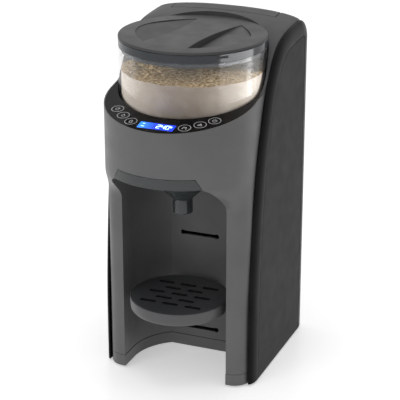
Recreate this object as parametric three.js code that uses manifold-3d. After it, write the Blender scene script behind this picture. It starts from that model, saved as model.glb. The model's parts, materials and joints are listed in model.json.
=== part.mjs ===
// Counter-top baby formula maker: powder hopper over a mixing funnel, bottle bay in front,
// water tank behind. Millimetres, +Z up, front towards -Y. Inside the file the hopper's axis
// is at x = 0, y = 0; the last group moves the machine so that its footprint is centred.
import * as THREE from "three";
import { mergeVertices } from "three/addons/utils/BufferGeometryUtils.js";
import Module from "manifold-3d";

const wasm = await Module();
wasm.setup();

// Driving dimensions of the casing
const width = 162;
const shoulder_rise = 6;
const shoulder_run = 15;
const head_setback = 27;
const wall = 2.6;
const gap = 0.4;
const overrun = 4;
const foot_lift = 2;
const base_height = 12;
const bay_height = 207;
const lip_height = 10.5;
const drive_height = 24.5;
const seat_thickness = 4;
const hopper_height = 74;
const lid_height = 11;
const hood_rise = 6.5;
const tank_inset = 19;
const tank_clear = 6.2;
const tank_depth = 36;

// Driving dimensions of the posts and the bottle bay
const post_width = 20;
const post_front = 50;
const post_corner = 17;
const bay_flat = 10;
const bay_crown = 15;
const bay_shoulder = 36;
const chin_rise = 35;
const post_return = 10;
const ledge_width = 15;
const ledge_height = 6.5;

// Driving dimensions of the hopper, its lid and its dosing parts
const hopper_inset = 3;
const hopper_wall = 2.4;
const deck_rise = 16;
const deck_slope_share = 0.2;
const panel_thickness = 3;
const panel_rim = 1.6;
const outlet_radius = 11;
const wheel_clear = 5.6;
const wheel_rim = 8;
const wheel_thickness = 6;
const powder_height = 52;

// Levels, from the bottom up
const base_low = foot_lift;
const base_top = base_low + base_height;
const body_low = base_top + gap;
const bay_top = base_top + bay_height;
const lip_top = bay_top + lip_height;
const seat_low = lip_top + drive_height;
const seat_top = seat_low + seat_thickness;
const hopper_low = seat_top + gap;
const hopper_top = hopper_low + hopper_height;
const lid_top = hopper_top + lid_height;
const height = lid_top + hood_rise;

// Plan sizes that follow
const head_radius = width / 2 - shoulder_rise;
const hopper_radius = head_radius - hopper_inset;
const pocket_radius = hopper_radius + 2 * gap;
const tank_half = head_radius - tank_inset;
const tank_near = pocket_radius + tank_clear;
const rear_reach = tank_near + tank_depth;
const front_reach = head_setback + head_radius;
const depth = front_reach + rear_reach;
const bay_half = head_radius - post_width;
const bay_depth = bay_half - head_setback - bay_flat;
const wheel_radius = hopper_radius - hopper_wall - wheel_clear;
const outlet_offset = wheel_radius - wheel_rim - outlet_radius;
const deck_front = seat_top + deck_rise;
const chin_low = bay_top - chin_rise;

// Gears and motor under the hopper, which set how far back the front casing reaches
const bearing_wall = 2;
const chute_step = 1;
const chute_radius = outlet_radius + chute_step;
const gear_clear = 5.875;
const addendum_share = 0.75;
const gear_teeth = 32;
const pinion_teeth = 8;
const gear_room = outlet_offset - chute_radius - bearing_wall - gear_clear;
const gear_module = gear_room / (gear_teeth / 2 + addendum_share);
const gear_radius = (gear_module * gear_teeth) / 2;
const pinion_radius = (gear_module * pinion_teeth) / 2;
const gear_outside = gear_radius + addendum_share * gear_module;
const motor_angle = Math.PI / 2;
const motor_place = [
  (gear_radius + pinion_radius) * Math.cos(motor_angle),
  (gear_radius + pinion_radius) * Math.sin(motor_angle),
];
const motor_radius = 13;
const motor_room = 9;
const front_back = motor_place[1] + motor_radius + motor_room;

// Side views of the side panels, of the hood's middle and of its edges, as shares of the depth and
// the height. Each ends at the rounded rear corner, at its own share of the height.
const side_curve_shares = [
  [0.281, -0.1], [0.281, 0.19], [0.295, 0.358], [0.327, 0.557], [0.366, 0.673], [0.408, 0.753],
  [0.452, 0.828], [0.502, 0.878], [0.558, 0.921], [0.627, 0.951], [0.742, 0.968],
];
const side_end_share = 0.974;
const hood_curve_shares = [
  [0.405, 0.834], [0.456, 0.852], [0.493, 0.881], [0.525, 0.915], [0.562, 0.94], [0.627, 0.964], [0.742, 0.986],
];
const hood_edge_shares = [
  [0.405, 0.834], [0.456, 0.847], [0.493, 0.871], [0.525, 0.903], [0.562, 0.927], [0.627, 0.952], [0.742, 0.969],
];
const hood_end_share = 1;

// Material for one sub-part
function finish(colour, roughness, metalness = 0, opacity = 1) {
  return new THREE.MeshStandardMaterial({
    color: colour, roughness, metalness, opacity, transparent: opacity < 1,
  });
}
const grey = finish(0x5c5c5d, 0.5);
const dark_grey = finish(0x3c3c3b, 0.35);
const gloss_black = finish(0x0c0c0d, 0.08);
const black = finish(0x1b1b1c, 0.55);
const clear = finish(0xe6ebee, 0.05, 0, 0.25);
const smoke = finish(0x3a4143, 0.15, 0, 0.8);
const steel = finish(0xb4b6b8, 0.3, 1);
const white = finish(0xe4e2dc, 0.5);
const rubber = finish(0x202021, 0.9);
const green = finish(0x1f5a36, 0.5);
const blue = finish(0x2438f0, 0.2);
const cream = finish(0xd8c7a4, 0.95);

// Solid from a closed geometry, and back
const weld = 0.0001;
function solid(geometry) {
  const bare = geometry.clone();
  bare.deleteAttribute("normal");
  bare.deleteAttribute("uv");
  const merged = mergeVertices(bare, weld);
  return new wasm.Manifold(new wasm.Mesh({
    numProp: 3,
    vertProperties: new Float32Array(merged.attributes.position.array),
    triVerts: new Uint32Array(merged.index.array),
  }));
}

function geometryOf(body) {
  const mesh = body.getMesh();
  const geometry = new THREE.BufferGeometry();
  geometry.setAttribute("position", new THREE.BufferAttribute(mesh.vertProperties.slice(), 3));
  geometry.setIndex(new THREE.BufferAttribute(mesh.triVerts.slice(), 1));
  const faceted = geometry.toNonIndexed();
  faceted.computeVertexNormals();
  return faceted;
}

function joined(bodies) {
  return bodies.reduce((sum, body) => sum.add(body));
}

// Basic shapes
function shapeOf(points) {
  return new THREE.Shape(points.map(([x, y]) => new THREE.Vector2(x, y)));
}

function extruded(shape, length, curveSegments = 12) {
  return new THREE.ExtrudeGeometry(shape, { depth: length, bevelEnabled: false, curveSegments });
}

// Shape drawn in X and Y, raised from low to high
function prism(shape, low, high, segments) {
  return solid(extruded(shape, high - low, segments).translate(0, 0, low));
}

// Shape drawn in X and Z, running along Y from near to far
function frontPrism(shape, near, far, segments) {
  const geometry = extruded(shape, far - near, segments);
  return solid(geometry.rotateX(Math.PI / 2).translate(0, far, 0));
}

// Shape drawn in Y and Z, running along X from left to right
function sidePrism(shape, left, right, segments) {
  const turn = new THREE.Matrix4().set(0, 0, 1, 0, 1, 0, 0, 0, 0, 1, 0, 0, 0, 0, 0, 1);
  const geometry = extruded(shape, right - left, segments).applyMatrix4(turn);
  return solid(geometry.translate(left, 0, 0));
}

function block(x0, x1, y0, y1, z0, z1) {
  const box = new THREE.BoxGeometry(x1 - x0, y1 - y0, z1 - z0);
  return solid(box.translate((x0 + x1) / 2, (y0 + y1) / 2, (z0 + z1) / 2));
}

function rod(radius, low, high, x = 0, y = 0, sides = 24, top_radius = radius) {
  const cylinder = new THREE.CylinderGeometry(top_radius, radius, high - low, sides);
  return solid(cylinder.rotateX(Math.PI / 2).translate(x, y, (low + high) / 2));
}

// Rod lying along Y
function lyingRod(radius, near, far, x, z, sides = 16) {
  const cylinder = new THREE.CylinderGeometry(radius, radius, far - near, sides);
  return solid(cylinder.translate(x, (near + far) / 2, z));
}

// Profile of radius and level pairs, turned about the upright axis at x, y
function turned(profile, x = 0, y = 0, sides = 40) {
  const points = profile.map(([radius, level]) => new THREE.Vector2(radius, level));
  const geometry = new THREE.LatheGeometry(points, sides).rotateX(Math.PI / 2);
  return solid(geometry.translate(x, y, 0));
}

function ring(outer, inner, low, high, x = 0, y = 0, sides = 40) {
  const profile = [[inner, low], [outer, low], [outer, high], [inner, high], [inner, low]];
  return turned(profile, x, y, sides);
}

function signedVolume(positions, faces) {
  let sum = 0;
  for (const [a, b, c] of faces) {
    sum += positions[a].dot(new THREE.Vector3().crossVectors(positions[b], positions[c]));
  }
  return sum;
}

// Closed body through rings of points, all with the same count, capped at both ends
function loft(rings, capPlane) {
  const count = rings[0].length;
  const positions = rings.flat();
  const faces = [];
  for (let row = 0; row + 1 < rings.length; row += 1) {
    for (let column = 0; column < count; column += 1) {
      const next = (column + 1) % count;
      const a = row * count + column;
      const b = row * count + next;
      faces.push([a, b, b + count], [a, b + count, a + count]);
    }
  }
  const flat = (ringPoints) => ringPoints.map((point) => new THREE.Vector2(...capPlane(point)));
  const last = (rings.length - 1) * count;
  const lower = THREE.ShapeUtils.triangulateShape(flat(rings[0]), []);
  const upper = THREE.ShapeUtils.triangulateShape(flat(rings[rings.length - 1]), []);
  const turn = THREE.ShapeUtils.isClockWise(flat(rings[0])) ? -1 : 1;
  for (const [a, b, c] of lower) faces.push(turn > 0 ? [c, b, a] : [a, b, c]);
  for (const [a, b, c] of upper) {
    faces.push(turn > 0 ? [a + last, b + last, c + last] : [c + last, b + last, a + last]);
  }
  const outward = signedVolume(positions, faces) > 0;
  const geometry = new THREE.BufferGeometry().setFromPoints(positions);
  geometry.setIndex((outward ? faces : faces.map(([a, b, c]) => [c, b, a])).flat());
  return solid(geometry);
}

const meshes = [];
function part(name, body, material) {
  const mesh = new THREE.Mesh(geometryOf(body), material);
  mesh.name = name;
  meshes.push(mesh);
  return mesh;
}

// Tilted deck that carries the control panel and surrounds the hopper
const deck_tilt = Math.atan(deck_slope_share);
function deckLevel(y) {
  return deck_front + deck_slope_share * (y + front_reach);
}

// Everything between two heights measured from the deck
function deckSlab(below, above) {
  const near = -front_reach - overrun;
  const far = rear_reach + overrun;
  const shape = shapeOf([
    [near, deckLevel(near) + below], [far, deckLevel(far) + below],
    [far, deckLevel(far) + above], [near, deckLevel(near) + above],
  ]);
  return sidePrism(shape, -width, width);
}

// Plan of the casing at one level: bulge 0 on the posts, 1 on the round head
const front_steps = 24;
function postFront(x, inset) {
  const radius = post_corner - inset;
  const corner_x = head_radius - post_corner;
  const corner_y = -(post_front - post_corner);
  const beyond = Math.abs(x) - corner_x;
  if (beyond <= 0) return corner_y - radius;
  return corner_y - Math.sqrt(Math.max(0, radius * radius - beyond * beyond));
}

function casingOutline(inset, bulge, back) {
  const half = head_radius - inset;
  const points = [[half, back], [-half, back]];
  for (let step = 0; step <= front_steps; step += 1) {
    const angle = -Math.PI / 2 + (Math.PI * step) / front_steps;
    const x = half * Math.sin(angle);
    const head_y = -head_setback - half * Math.cos(angle);
    points.push([x, THREE.MathUtils.lerp(postFront(x, inset), head_y, bulge)]);
  }
  return points;
}

const chin_steps = 5;
function casingLoft(inset, low, high, back) {
  const levels = [low];
  for (let step = 0; step <= chin_steps; step += 1) {
    levels.push(chin_low + (chin_rise * step) / chin_steps);
  }
  levels.push(high);
  const rings = levels.map((level) => {
    const bulge = THREE.MathUtils.smoothstep(level, chin_low, bay_top);
    return casingOutline(inset, bulge, back).map(([x, y]) => new THREE.Vector3(x, y, level));
  });
  return loft(rings, (point) => [point.x, point.y]);
}

// Arch of the bottle bay seen from the front
function archShape(grow, low) {
  const half = bay_half + grow;
  const top = bay_top + grow;
  const spring = bay_top - bay_shoulder;
  const shape = new THREE.Shape();
  shape.moveTo(-half, low);
  shape.lineTo(half, low);
  shape.lineTo(half, spring);
  shape.bezierCurveTo(half, top - bay_crown, half - grow, top, half - bay_crown, top);
  shape.lineTo(bay_crown - half, top);
  shape.bezierCurveTo(grow - half, top, -half, top - bay_crown, -half, spring);
  shape.closePath();
  return shape;
}

// Funnel mouth in the head's face, a little wider at its foot
const lip_inset = 16;
const lip_half = bay_half - lip_inset;
const lip_splay = 6;
function mouthShape(grow) {
  return shapeOf([
    [-lip_half - lip_splay - grow, bay_top - grow], [lip_half + lip_splay + grow, bay_top - grow],
    [lip_half + grow, lip_top + grow], [-lip_half - grow, lip_top + grow],
  ]);
}

// Grey front casing: posts, bay surround and head
const panel_rebate = panel_thickness + gap;
function frontCasing() {
  const roof = height;
  const outer = casingLoft(0, body_low, roof, front_back);
  const inner = casingLoft(wall, body_low - overrun, roof + overrun, front_back + overrun);
  const near = -front_reach - overrun;
  const lined = -post_front + post_return;
  const surround = frontPrism(archShape(wall, body_low), near, lined).intersect(outer);
  const bay = frontPrism(archShape(0, body_low - overrun), near - overrun, lined + overrun);
  const mouth = frontPrism(mouthShape(gap), near - overrun, lined + overrun);
  const above = deckSlab(0, height);
  const rebate = prism(shapeOf(casingOutline(panel_rim - gap, 1, front_back - panel_rebate)), 0, height)
    .intersect(deckSlab(-panel_rebate, height));
  const bosses = [-1, 1].map((side) => {
    const [x, y] = front_fixing;
    const boss = rod(boss_radius, body_low, body_low + boss_height, side * x, y, 16);
    const web_low = body_low;
    const web = block(
      Math.min(side * x, side * (head_radius - wall / 2)), Math.max(side * x, side * (head_radius - wall / 2)),
      y - web_half, y + web_half, web_low, body_low + boss_height,
    );
    return boss.add(web);
  });
  const drilled = [-1, 1].map((side) => screwHole(side * front_fixing[0], front_fixing[1]));
  return joined([outer.subtract(inner), surround, ...bosses])
    .subtract(bay).subtract(mouth).subtract(above).subtract(rebate).subtract(joined(drilled));
}

// Screws that hold the base to the posts and to the tank bay
const boss_radius = 4;
const fixing_inset = 5.4;
const fixing_setback = 8.4;
const front_fixing = [head_radius - wall - fixing_inset, -post_front + wall + fixing_setback];
const boss_height = 12;
const web_half = 1.2;
const screw_radius = 1.5;
const screw_head = 3;
const screw_head_height = 2;
const screw_reach = 8;
const screw_seat = 1;
function screwHole(x, y) {
  return rod(screw_radius + gap / 2, base_low - overrun, body_low + screw_reach + gap, x, y, 12);
}

function screw(x, y) {
  const low = base_low + screw_seat;
  const head = rod(screw_head, low, low + screw_head_height, x, y, 12);
  const slot = block(x - screw_head, x + screw_head, y - gap, y + gap, base_low, low + screw_head_height / 2);
  const shank = rod(screw_radius, low + gap, body_low + screw_reach, x, y, 10);
  return head.add(shank).subtract(slot);
}

function screwSeat(x, y) {
  return rod(screw_head + gap, base_low - overrun, base_low + screw_seat + screw_head_height + gap, x, y, 14);
}

// Plan of the bottle bay: straight cheeks, round sides and a flat back
function bayShape(grow, near) {
  const radius = bay_half + grow;
  const back = bay_depth + grow;
  const corner = Math.asin((back + head_setback) / radius);
  const shape = new THREE.Shape();
  shape.moveTo(radius, near);
  shape.lineTo(radius, -head_setback);
  shape.absarc(0, -head_setback, radius, 0, corner, false);
  shape.lineTo(-radius * Math.cos(corner), back);
  shape.absarc(0, -head_setback, radius, Math.PI - corner, Math.PI, false);
  shape.lineTo(-radius, near);
  shape.closePath();
  return shape;
}

// Bay lining with tray slots at three heights and the rails that carry the funnel
const tray_level_low = 25;
const tray_level_middle = 79;
const tray_level_high = 130;
const tray_hook_half = 18;
const tray_hook_thickness = 3;
const slot_end = 2.6;
function bayLining() {
  const near = -post_front + post_return + gap;
  const far = bay_depth + wall + overrun;
  const shell = prism(bayShape(wall, near), body_low, bay_top + gap)
    .subtract(prism(bayShape(0, near - overrun), body_low - overrun, bay_top + overrun));
  const rail_top = bay_top + ledge_height - gap;
  const rails = [-1, 1].map((side) => {
    const inside = side * (bay_half - ledge_width);
    const outside = side * (bay_half + wall);
    return block(
      Math.min(inside, outside), Math.max(inside, outside), near, -head_setback + ledge_width,
      bay_top - gap, rail_top,
    );
  });
  const slots = [tray_level_low, tray_level_middle, tray_level_high].map((level) => {
    const half = tray_hook_half + gap;
    const thick = tray_hook_thickness / 2 + gap;
    const bar = block(-half, half, bay_depth - overrun, far, level - thick, level + thick);
    const ends = [-half, half].map((x) => lyingRod(slot_end, bay_depth - overrun, far, x, level, 16));
    return joined([bar, ...ends]);
  });
  return joined([shell, ...rails]).subtract(joined(slots));
}

// Base with the bay's notch, a service pocket and recesses for the feet
const notch_step = 0.4;
const base_margin = 8;
const base_floor = 3;
const foot_radius = 6.5;
const foot_recess = 3;
const foot_inset = 3.2;
const foot_setback = 15;
const rear_foot_reach = 26;
const tank_fixing_inset = 5;
const tank_fixing_reach = 46;
const front_foot = [front_fixing[0] - foot_inset, front_fixing[1] + foot_setback];
const rear_foot = [bay_half, rear_reach - rear_foot_reach];
const tank_fixing = [tank_half + tank_fixing_inset, rear_reach - tank_fixing_reach];
function footPlaces() {
  return [front_foot, rear_foot].flatMap(([x, y]) => [[-x, y], [x, y]]);
}

function fixings() {
  return [front_fixing, tank_fixing].flatMap(([x, y]) => [[-x, y], [x, y]]);
}

function basePlate() {
  const back = rear_reach - wall - gap;
  const outline = prism(shapeOf(casingOutline(0, 0, back)), base_low, base_top);
  const notch = prism(bayShape(-notch_step, -post_front - overrun), base_low - overrun, base_top + overrun);
  const half = head_radius - base_margin;
  const pocket_near = bay_depth + base_margin;
  const pocket_top = base_top + overrun;
  const pocket = block(-half, half, pocket_near, rear_reach - shoulder_run - base_margin,
    base_low + base_floor + foot_recess, pocket_top);
  const posts = joined([front_foot, rear_foot, tank_fixing].flatMap(([x, y]) => [-1, 1].map((side) =>
    rod(foot_radius + wall, base_low, base_top, side * x, y, 16))));
  const recesses = footPlaces().map(([x, y]) =>
    rod(foot_radius + gap, base_low - overrun, base_low + foot_recess, x, y, 20));
  const holes = fixings().map(([x, y]) => screwHole(x, y).add(screwSeat(x, y)));
  return joined([outline.subtract(pocket), posts.intersect(outline)])
    .subtract(joined([notch, ...recesses, ...holes]));
}

function foot(x, y) {
  const top = base_low + foot_recess - gap;
  const sole = foot_radius - foot_lift / 4;
  return turned([[0, 0], [sole, 0], [foot_radius, foot_lift / 2], [foot_radius, top], [0, top]], x, y, 18);
}

// Outline in Y and Z through a table of shares, with a rounded rear corner, open below
const side_steps = 20;
const rear_ease = 6;
const rear_round = shoulder_run + rear_ease;
const rear_steps = 4;
function roofOutline(shares, end_share, steps, back) {
  const end = new THREE.Vector2(back - rear_round, end_share * height);
  const marks = shares.map(([along, up]) => new THREE.Vector2(-front_reach + along * depth, up * height));
  const points = new THREE.SplineCurve([...marks, end]).getPoints(steps);
  for (let step = 1; step <= rear_steps; step += 1) {
    const angle = Math.PI / 2 - (Math.PI / 2) * (step / rear_steps);
    points.push(new THREE.Vector2(
      end.x + rear_round * Math.cos(angle), end.y - rear_round + rear_round * Math.sin(angle),
    ));
  }
  return points;
}

function sideOutline() {
  const points = roofOutline(side_curve_shares, side_end_share, side_steps, rear_reach - 2 * gap);
  points.push(new THREE.Vector2(rear_reach - 2 * gap, points[0].y));
  return points;
}

// Outline moved inward by the same distance all round
function insetOutline(points, inset) {
  const count = points.length;
  return points.map((point, index) => {
    const before = points[(index + count - 1) % count];
    const after = points[(index + 1) % count];
    const first = new THREE.Vector2().subVectors(point, before).normalize();
    const second = new THREE.Vector2().subVectors(after, point).normalize();
    const mitre = first.clone().add(second).normalize();
    const stretch = 1 / Math.max(mitre.dot(first), Math.SQRT1_2);
    return new THREE.Vector2(mitre.y, -mitre.x).multiplyScalar(inset * stretch).add(point);
  });
}

// Gloss shoulder round a side panel, and the satin panel inside it
const shoulder_steps = 5;
const skin = 2.6;
const side_root = head_radius + gap;
function shoulderSolid(side) {
  const outline = sideOutline();
  const rings = [outline.map((point) => new THREE.Vector3(side * side_root, point.x, point.y))];
  for (let step = 0; step <= shoulder_steps; step += 1) {
    const angle = (Math.PI / 2) * (step / shoulder_steps);
    const inset = shoulder_run * (1 - Math.cos(angle));
    const x = side_root + skin / 4 + (width / 2 - side_root - skin / 4) * Math.sin(angle);
    rings.push(insetOutline(outline, inset).map((point) => new THREE.Vector3(side * x, point.x, point.y)));
  }
  return loft(rings, (point) => [point.y, point.z]);
}

function betweenSides(side, near, far) {
  return [Math.min(side * near, side * far), Math.max(side * near, side * far)];
}

function belowFloorCut() {
  return block(-width, width, -width, width, -width, base_low);
}

function sideTrim(side) {
  const inside = shapeOf(insetOutline(sideOutline(), shoulder_run).map((point) => [point.x, point.y]));
  const [left, right] = betweenSides(side, side_root - overrun, width / 2 + overrun);
  return shoulderSolid(side).subtract(sidePrism(inside, left, right)).subtract(belowFloorCut());
}

function sidePanel(side) {
  const outline = sideOutline();
  const face = insetOutline(outline, shoulder_run + gap).map((point) => [point.x, point.y]);
  const hollow = insetOutline(outline, shoulder_run + gap + skin).map((point) => [point.x, point.y]);
  const [left, right] = betweenSides(side, side_root, width / 2);
  const [low, high] = betweenSides(side, side_root - overrun, width / 2 - skin);
  const floor = block(-width, width, -width, width, -width, base_low + skin);
  const cavity = sidePrism(shapeOf(hollow), low, high).subtract(floor);
  return sidePrism(shapeOf(face), left, right).subtract(cavity).subtract(belowFloorCut());
}

// Everything under the hood's surface, which falls off to an edge curve at each side. An inset moves
// the surface inward.
const hood_steps = 12;
const hood_crown_share = 0.93;
const hood_crown = hood_crown_share * head_radius;
const crown_steps = 6;
function roofSolid(inset) {
  const back = rear_reach - wall;
  const floor = deck_front - 2 * overrun;
  const places = [];
  for (let step = crown_steps; step > -crown_steps - 2; step -= 1) {
    const side = step >= 0 ? -1 : 1;
    const angle = (Math.PI / 2) * ((step >= 0 ? step : -1 - step) / crown_steps);
    places.push([side * (head_radius - hood_crown + hood_crown * Math.sin(angle)), 1 - Math.cos(angle)]);
  }
  const end_drop = hood_end_share - side_end_share;
  const rings = places.map(([x, edge_share]) => {
    const shares = hood_curve_shares.map(([along, up], index) =>
      [along, THREE.MathUtils.lerp(up, hood_edge_shares[index][1], edge_share)]);
    const points = roofOutline(shares, hood_end_share - end_drop * edge_share, hood_steps, back);
    points.unshift(new THREE.Vector2(points[0].x, floor));
    points.push(new THREE.Vector2(back, floor));
    return insetOutline(points, inset).map((point) => new THREE.Vector3(x, point.x, point.y));
  });
  return loft(rings, (point) => [point.y, point.z]);
}

// Hood: grey top and collar behind the hopper
function hood() {
  const outer = roofSolid(0).subtract(deckSlab(-height, gap));
  const half = head_radius - wall;
  const inner = roofSolid(wall).intersect(block(-half, half, -front_reach, rear_reach, 0, height));
  const collar = rod(pocket_radius + wall, deck_front, height, 0, 0, 56).intersect(outer);
  const pocket = rod(pocket_radius, deck_front - overrun, height + overrun, 0, 0, 56);
  const opening = block(-tank_half - gap, tank_half + gap, tank_near - gap, rear_reach + overrun,
    deck_front - overrun, height + overrun);
  const margin = wall * 2;
  const frame = block(-tank_half - margin, tank_half + margin, tank_near - margin, rear_reach - wall,
    height - hood_rise - wall, height).intersect(outer);
  return joined([outer.subtract(inner), collar, frame]).subtract(pocket).subtract(opening);
}

// Rear cover with the tank's opening
const rear_sill = 40;
const inlet_half = 12;
const inlet_height = 16;
const inlet_level = base_top + rear_sill / 2;
const vent_count = 5;
const vent_width = 3;
const vent_pitch = 7;
const vent_height = 16;
const vent_start = 24;
function rearCover() {
  const half = head_radius - gap;
  const top = deckLevel(rear_reach) - gap;
  const plate = block(-half, half, rear_reach - wall - gap, rear_reach - gap, body_low, top);
  const opening = block(-tank_half - gap, tank_half + gap, tank_near, rear_reach + overrun,
    body_low + rear_sill, height + overrun);
  const near = rear_reach - wall - gap - overrun;
  const inlet = block(-inlet_half - gap, inlet_half + gap, near, rear_reach + overrun,
    inlet_level - inlet_height / 2 - gap, inlet_level + inlet_height / 2 + gap);
  const vents = [];
  for (const side of [-1, 1]) {
    for (let index = 0; index < vent_count; index += 1) {
      const x = side * (vent_start + vent_pitch * index);
      vents.push(block(x - vent_width / 2, x + vent_width / 2, near, rear_reach + overrun,
        inlet_level - vent_height / 2, inlet_level + vent_height / 2));
    }
  }
  return plate.subtract(joined([opening, inlet, ...vents]));
}

// Inner bay that holds the tank and the works in front of it
const bay_wall = 2.4;
const tank_low = body_low + rear_sill + bay_wall;
const shelf_low = body_low + rear_sill - bay_wall;
const hinge_radius = 2.4;
const tank_far = rear_reach - 2 * (hinge_radius + gap);
const valve_radius = 8;
const valve_place = [0, (tank_near + gap + tank_far) / 2];
function tankBay() {
  const outer_half = tank_half + gap + bay_wall;
  const far = rear_reach - wall - 2 * gap;
  const near = tank_near - gap - bay_wall;
  const top = deckLevel(near) - gap;
  const box = block(-outer_half, outer_half, near, far, body_low, top);
  const room_half = tank_half + gap;
  const room_near = tank_near - gap;
  const room = block(-room_half, room_half, room_near, far + overrun, shelf_low + bay_wall, top + overrun);
  const cellar = block(-room_half, room_half, room_near, far + overrun, body_low - overrun, shelf_low);
  const hole = rod(valve_radius + 2 * gap, shelf_low - overrun, shelf_low + 2 * bay_wall, ...valve_place, 24);
  const bosses = [-1, 1].map((side) => rod(boss_radius, body_low, body_low + boss_height,
    side * tank_fixing[0], tank_fixing[1], 16));
  const webs = [-1, 1].map((side) => block(
    Math.min(side * (outer_half - bay_wall), side * tank_fixing[0]),
    Math.max(side * (outer_half - bay_wall), side * tank_fixing[0]),
    tank_fixing[1], tank_near + boss_radius, body_low, body_low + boss_height,
  ));
  const holes = [-1, 1].map((side) => screwHole(side * tank_fixing[0], tank_fixing[1]));
  const wires = lyingRod(wire_radius, near - overrun, tank_near + overrun, 0, body_low + boss_height);
  return joined([box.subtract(room).subtract(cellar), ...bosses, ...webs])
    .subtract(joined([hole, wires, ...holes]));
}
const wire_radius = 5;

// Water tank, its seal and valve, and the lid above it
const tank_wall = 2.2;
const tank_lid_height = hood_rise + 5;
const tank_top = height - tank_lid_height - gap;
const tank_corner = 18;
const hinge_pin = 1.1;
const hinge_half = 14;
const hinge_ear = 6;
const hinge_drop = 4.5;
const hinge_place = [tank_far + hinge_radius + gap, tank_top - hinge_drop];
function tankShape(grow) {
  const half = tank_half - gap + grow;
  const near = tank_near + gap - grow;
  const far = tank_far + grow;
  const corner = tank_corner + grow;
  const shape = new THREE.Shape();
  shape.moveTo(-half, near);
  shape.lineTo(half, near);
  shape.lineTo(half, far - corner);
  shape.absarc(half - corner, far - corner, corner, 0, Math.PI / 2, false);
  shape.lineTo(corner - half, far);
  shape.absarc(corner - half, far - corner, corner, Math.PI / 2, Math.PI, false);
  shape.closePath();
  return shape;
}

const grip_half = 24;
const grip_height = 18;
const grip_depth = 9;
// Rod along X on the line about which the tank's lid turns
function hingeRod(radius, left, right) {
  const cylinder = new THREE.CylinderGeometry(radius, radius, right - left, 16).rotateZ(Math.PI / 2);
  return solid(cylinder.translate((left + right) / 2, ...hinge_place));
}

function hingeEar(side) {
  const [left, right] = betweenSides(side, hinge_half + gap, hinge_half + gap + hinge_ear);
  const [pin_left, pin_right] = betweenSides(side, hinge_half - hinge_ear, hinge_half + hinge_ear);
  const web = block(left, right, tank_far - tank_wall / 2, hinge_place[0],
    hinge_place[1] - hinge_radius, hinge_place[1]);
  return joined([web, hingeRod(hinge_radius, left, right), hingeRod(hinge_pin, pin_left, pin_right)]);
}

function waterTank() {
  const low = tank_low - bay_wall + gap;
  const outer = prism(tankShape(0), low, tank_top, 6);
  const grip_level = tank_top - 2 * grip_height;
  const grip = block(-grip_half, grip_half, tank_far - grip_depth, tank_far + overrun,
    grip_level, grip_level + grip_height);
  const grip_wall = block(-grip_half - tank_wall, grip_half + tank_wall, tank_far - grip_depth - tank_wall,
    tank_far, grip_level - tank_wall, grip_level + grip_height + tank_wall);
  const inner = prism(tankShape(-tank_wall), low + tank_wall, tank_top + overrun, 6).subtract(grip_wall);
  const neck = rod(valve_radius - gap, low - bay_wall, low + tank_wall, ...valve_place, 24);
  const bore = rod(valve_stem + gap, low - overrun, low + overrun, ...valve_place, 20);
  return joined([outer.add(neck).subtract(inner).subtract(grip).subtract(bore), hingeEar(-1), hingeEar(1)]);
}
const valve_stem = 3;
const valve_head = 6;

function tankValve() {
  const seat = tank_low - bay_wall + gap + tank_wall;
  const head = rod(valve_head, seat + gap, seat + gap + tank_wall, ...valve_place, 20);
  const stem = rod(valve_stem, tank_low - 3 * bay_wall, seat + tank_wall, ...valve_place, 20);
  const foot_low = tank_low - 3 * bay_wall;
  return joined([head, stem, rod(valve_stem, foot_low, foot_low + gap, ...valve_place, 20)]);
}

const spring_height = 10;
function valveSpring() {
  const seat = tank_low - bay_wall + gap + tank_wall + tank_wall + 2 * gap;
  return ring(valve_head, valve_stem + gap, seat, seat + spring_height, ...valve_place, 20);
}

function valveCage() {
  const floor = tank_low - bay_wall + gap + tank_wall;
  const low = floor;
  const cap_low = floor + tank_wall + spring_height + 3 * gap;
  const high = cap_low + tank_wall;
  const shell = ring(valve_head + gap + tank_wall, valve_head + gap, low, high, ...valve_place, 20);
  const cap = rod(valve_head + gap + tank_wall, cap_low, high, ...valve_place, 20);
  const windows = [block(-valve_head / 2, valve_head / 2, 0, rear_reach, low + tank_wall, cap_low - tank_wall)];
  return shell.add(cap).subtract(joined(windows));
}

function tankLid() {
  const low = tank_top + gap;
  const body = prism(tankShape(0), low, height, 6).intersect(roofSolid(0));
  const inner = prism(tankShape(-tank_wall), low - overrun, height, 6).intersect(roofSolid(tank_wall));
  const lug = block(-hinge_half, hinge_half, tank_far - tank_wall / 2, hinge_place[0], low, low + hinge_radius);
  const web = block(-hinge_half, hinge_half, tank_far + gap, hinge_place[0], hinge_place[1], low + hinge_radius);
  return joined([body.subtract(inner), lug, web, hingeRod(hinge_radius, -hinge_half, hinge_half)])
    .subtract(hingeRod(hinge_pin + gap, -hinge_half - gap, hinge_half + gap));
}

// Hopper seat inside the head, with the powder chute and the spindle's bearing
const spindle_radius = 4;
const chute_clear = 2.8;
function hopperSeat() {
  const plate = prism(shapeOf(casingOutline(wall + gap, 1, front_back)), seat_low, seat_top);
  const collar = rod(chute_radius + bearing_wall, lip_top + chute_clear, seat_top, 0, -outlet_offset, 32);
  const bore = rod(chute_radius, lip_top - overrun, seat_top + overrun, 0, -outlet_offset, 32);
  const bearing = rod(spindle_radius + gap / 2 + bearing_wall, seat_low - bearing_wall, seat_top, 0, 0, 24);
  const hole = rod(spindle_radius + gap / 2, lip_top, seat_top + overrun, 0, 0, 24);
  return joined([plate, collar, bearing]).subtract(bore).subtract(hole);
}

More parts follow.
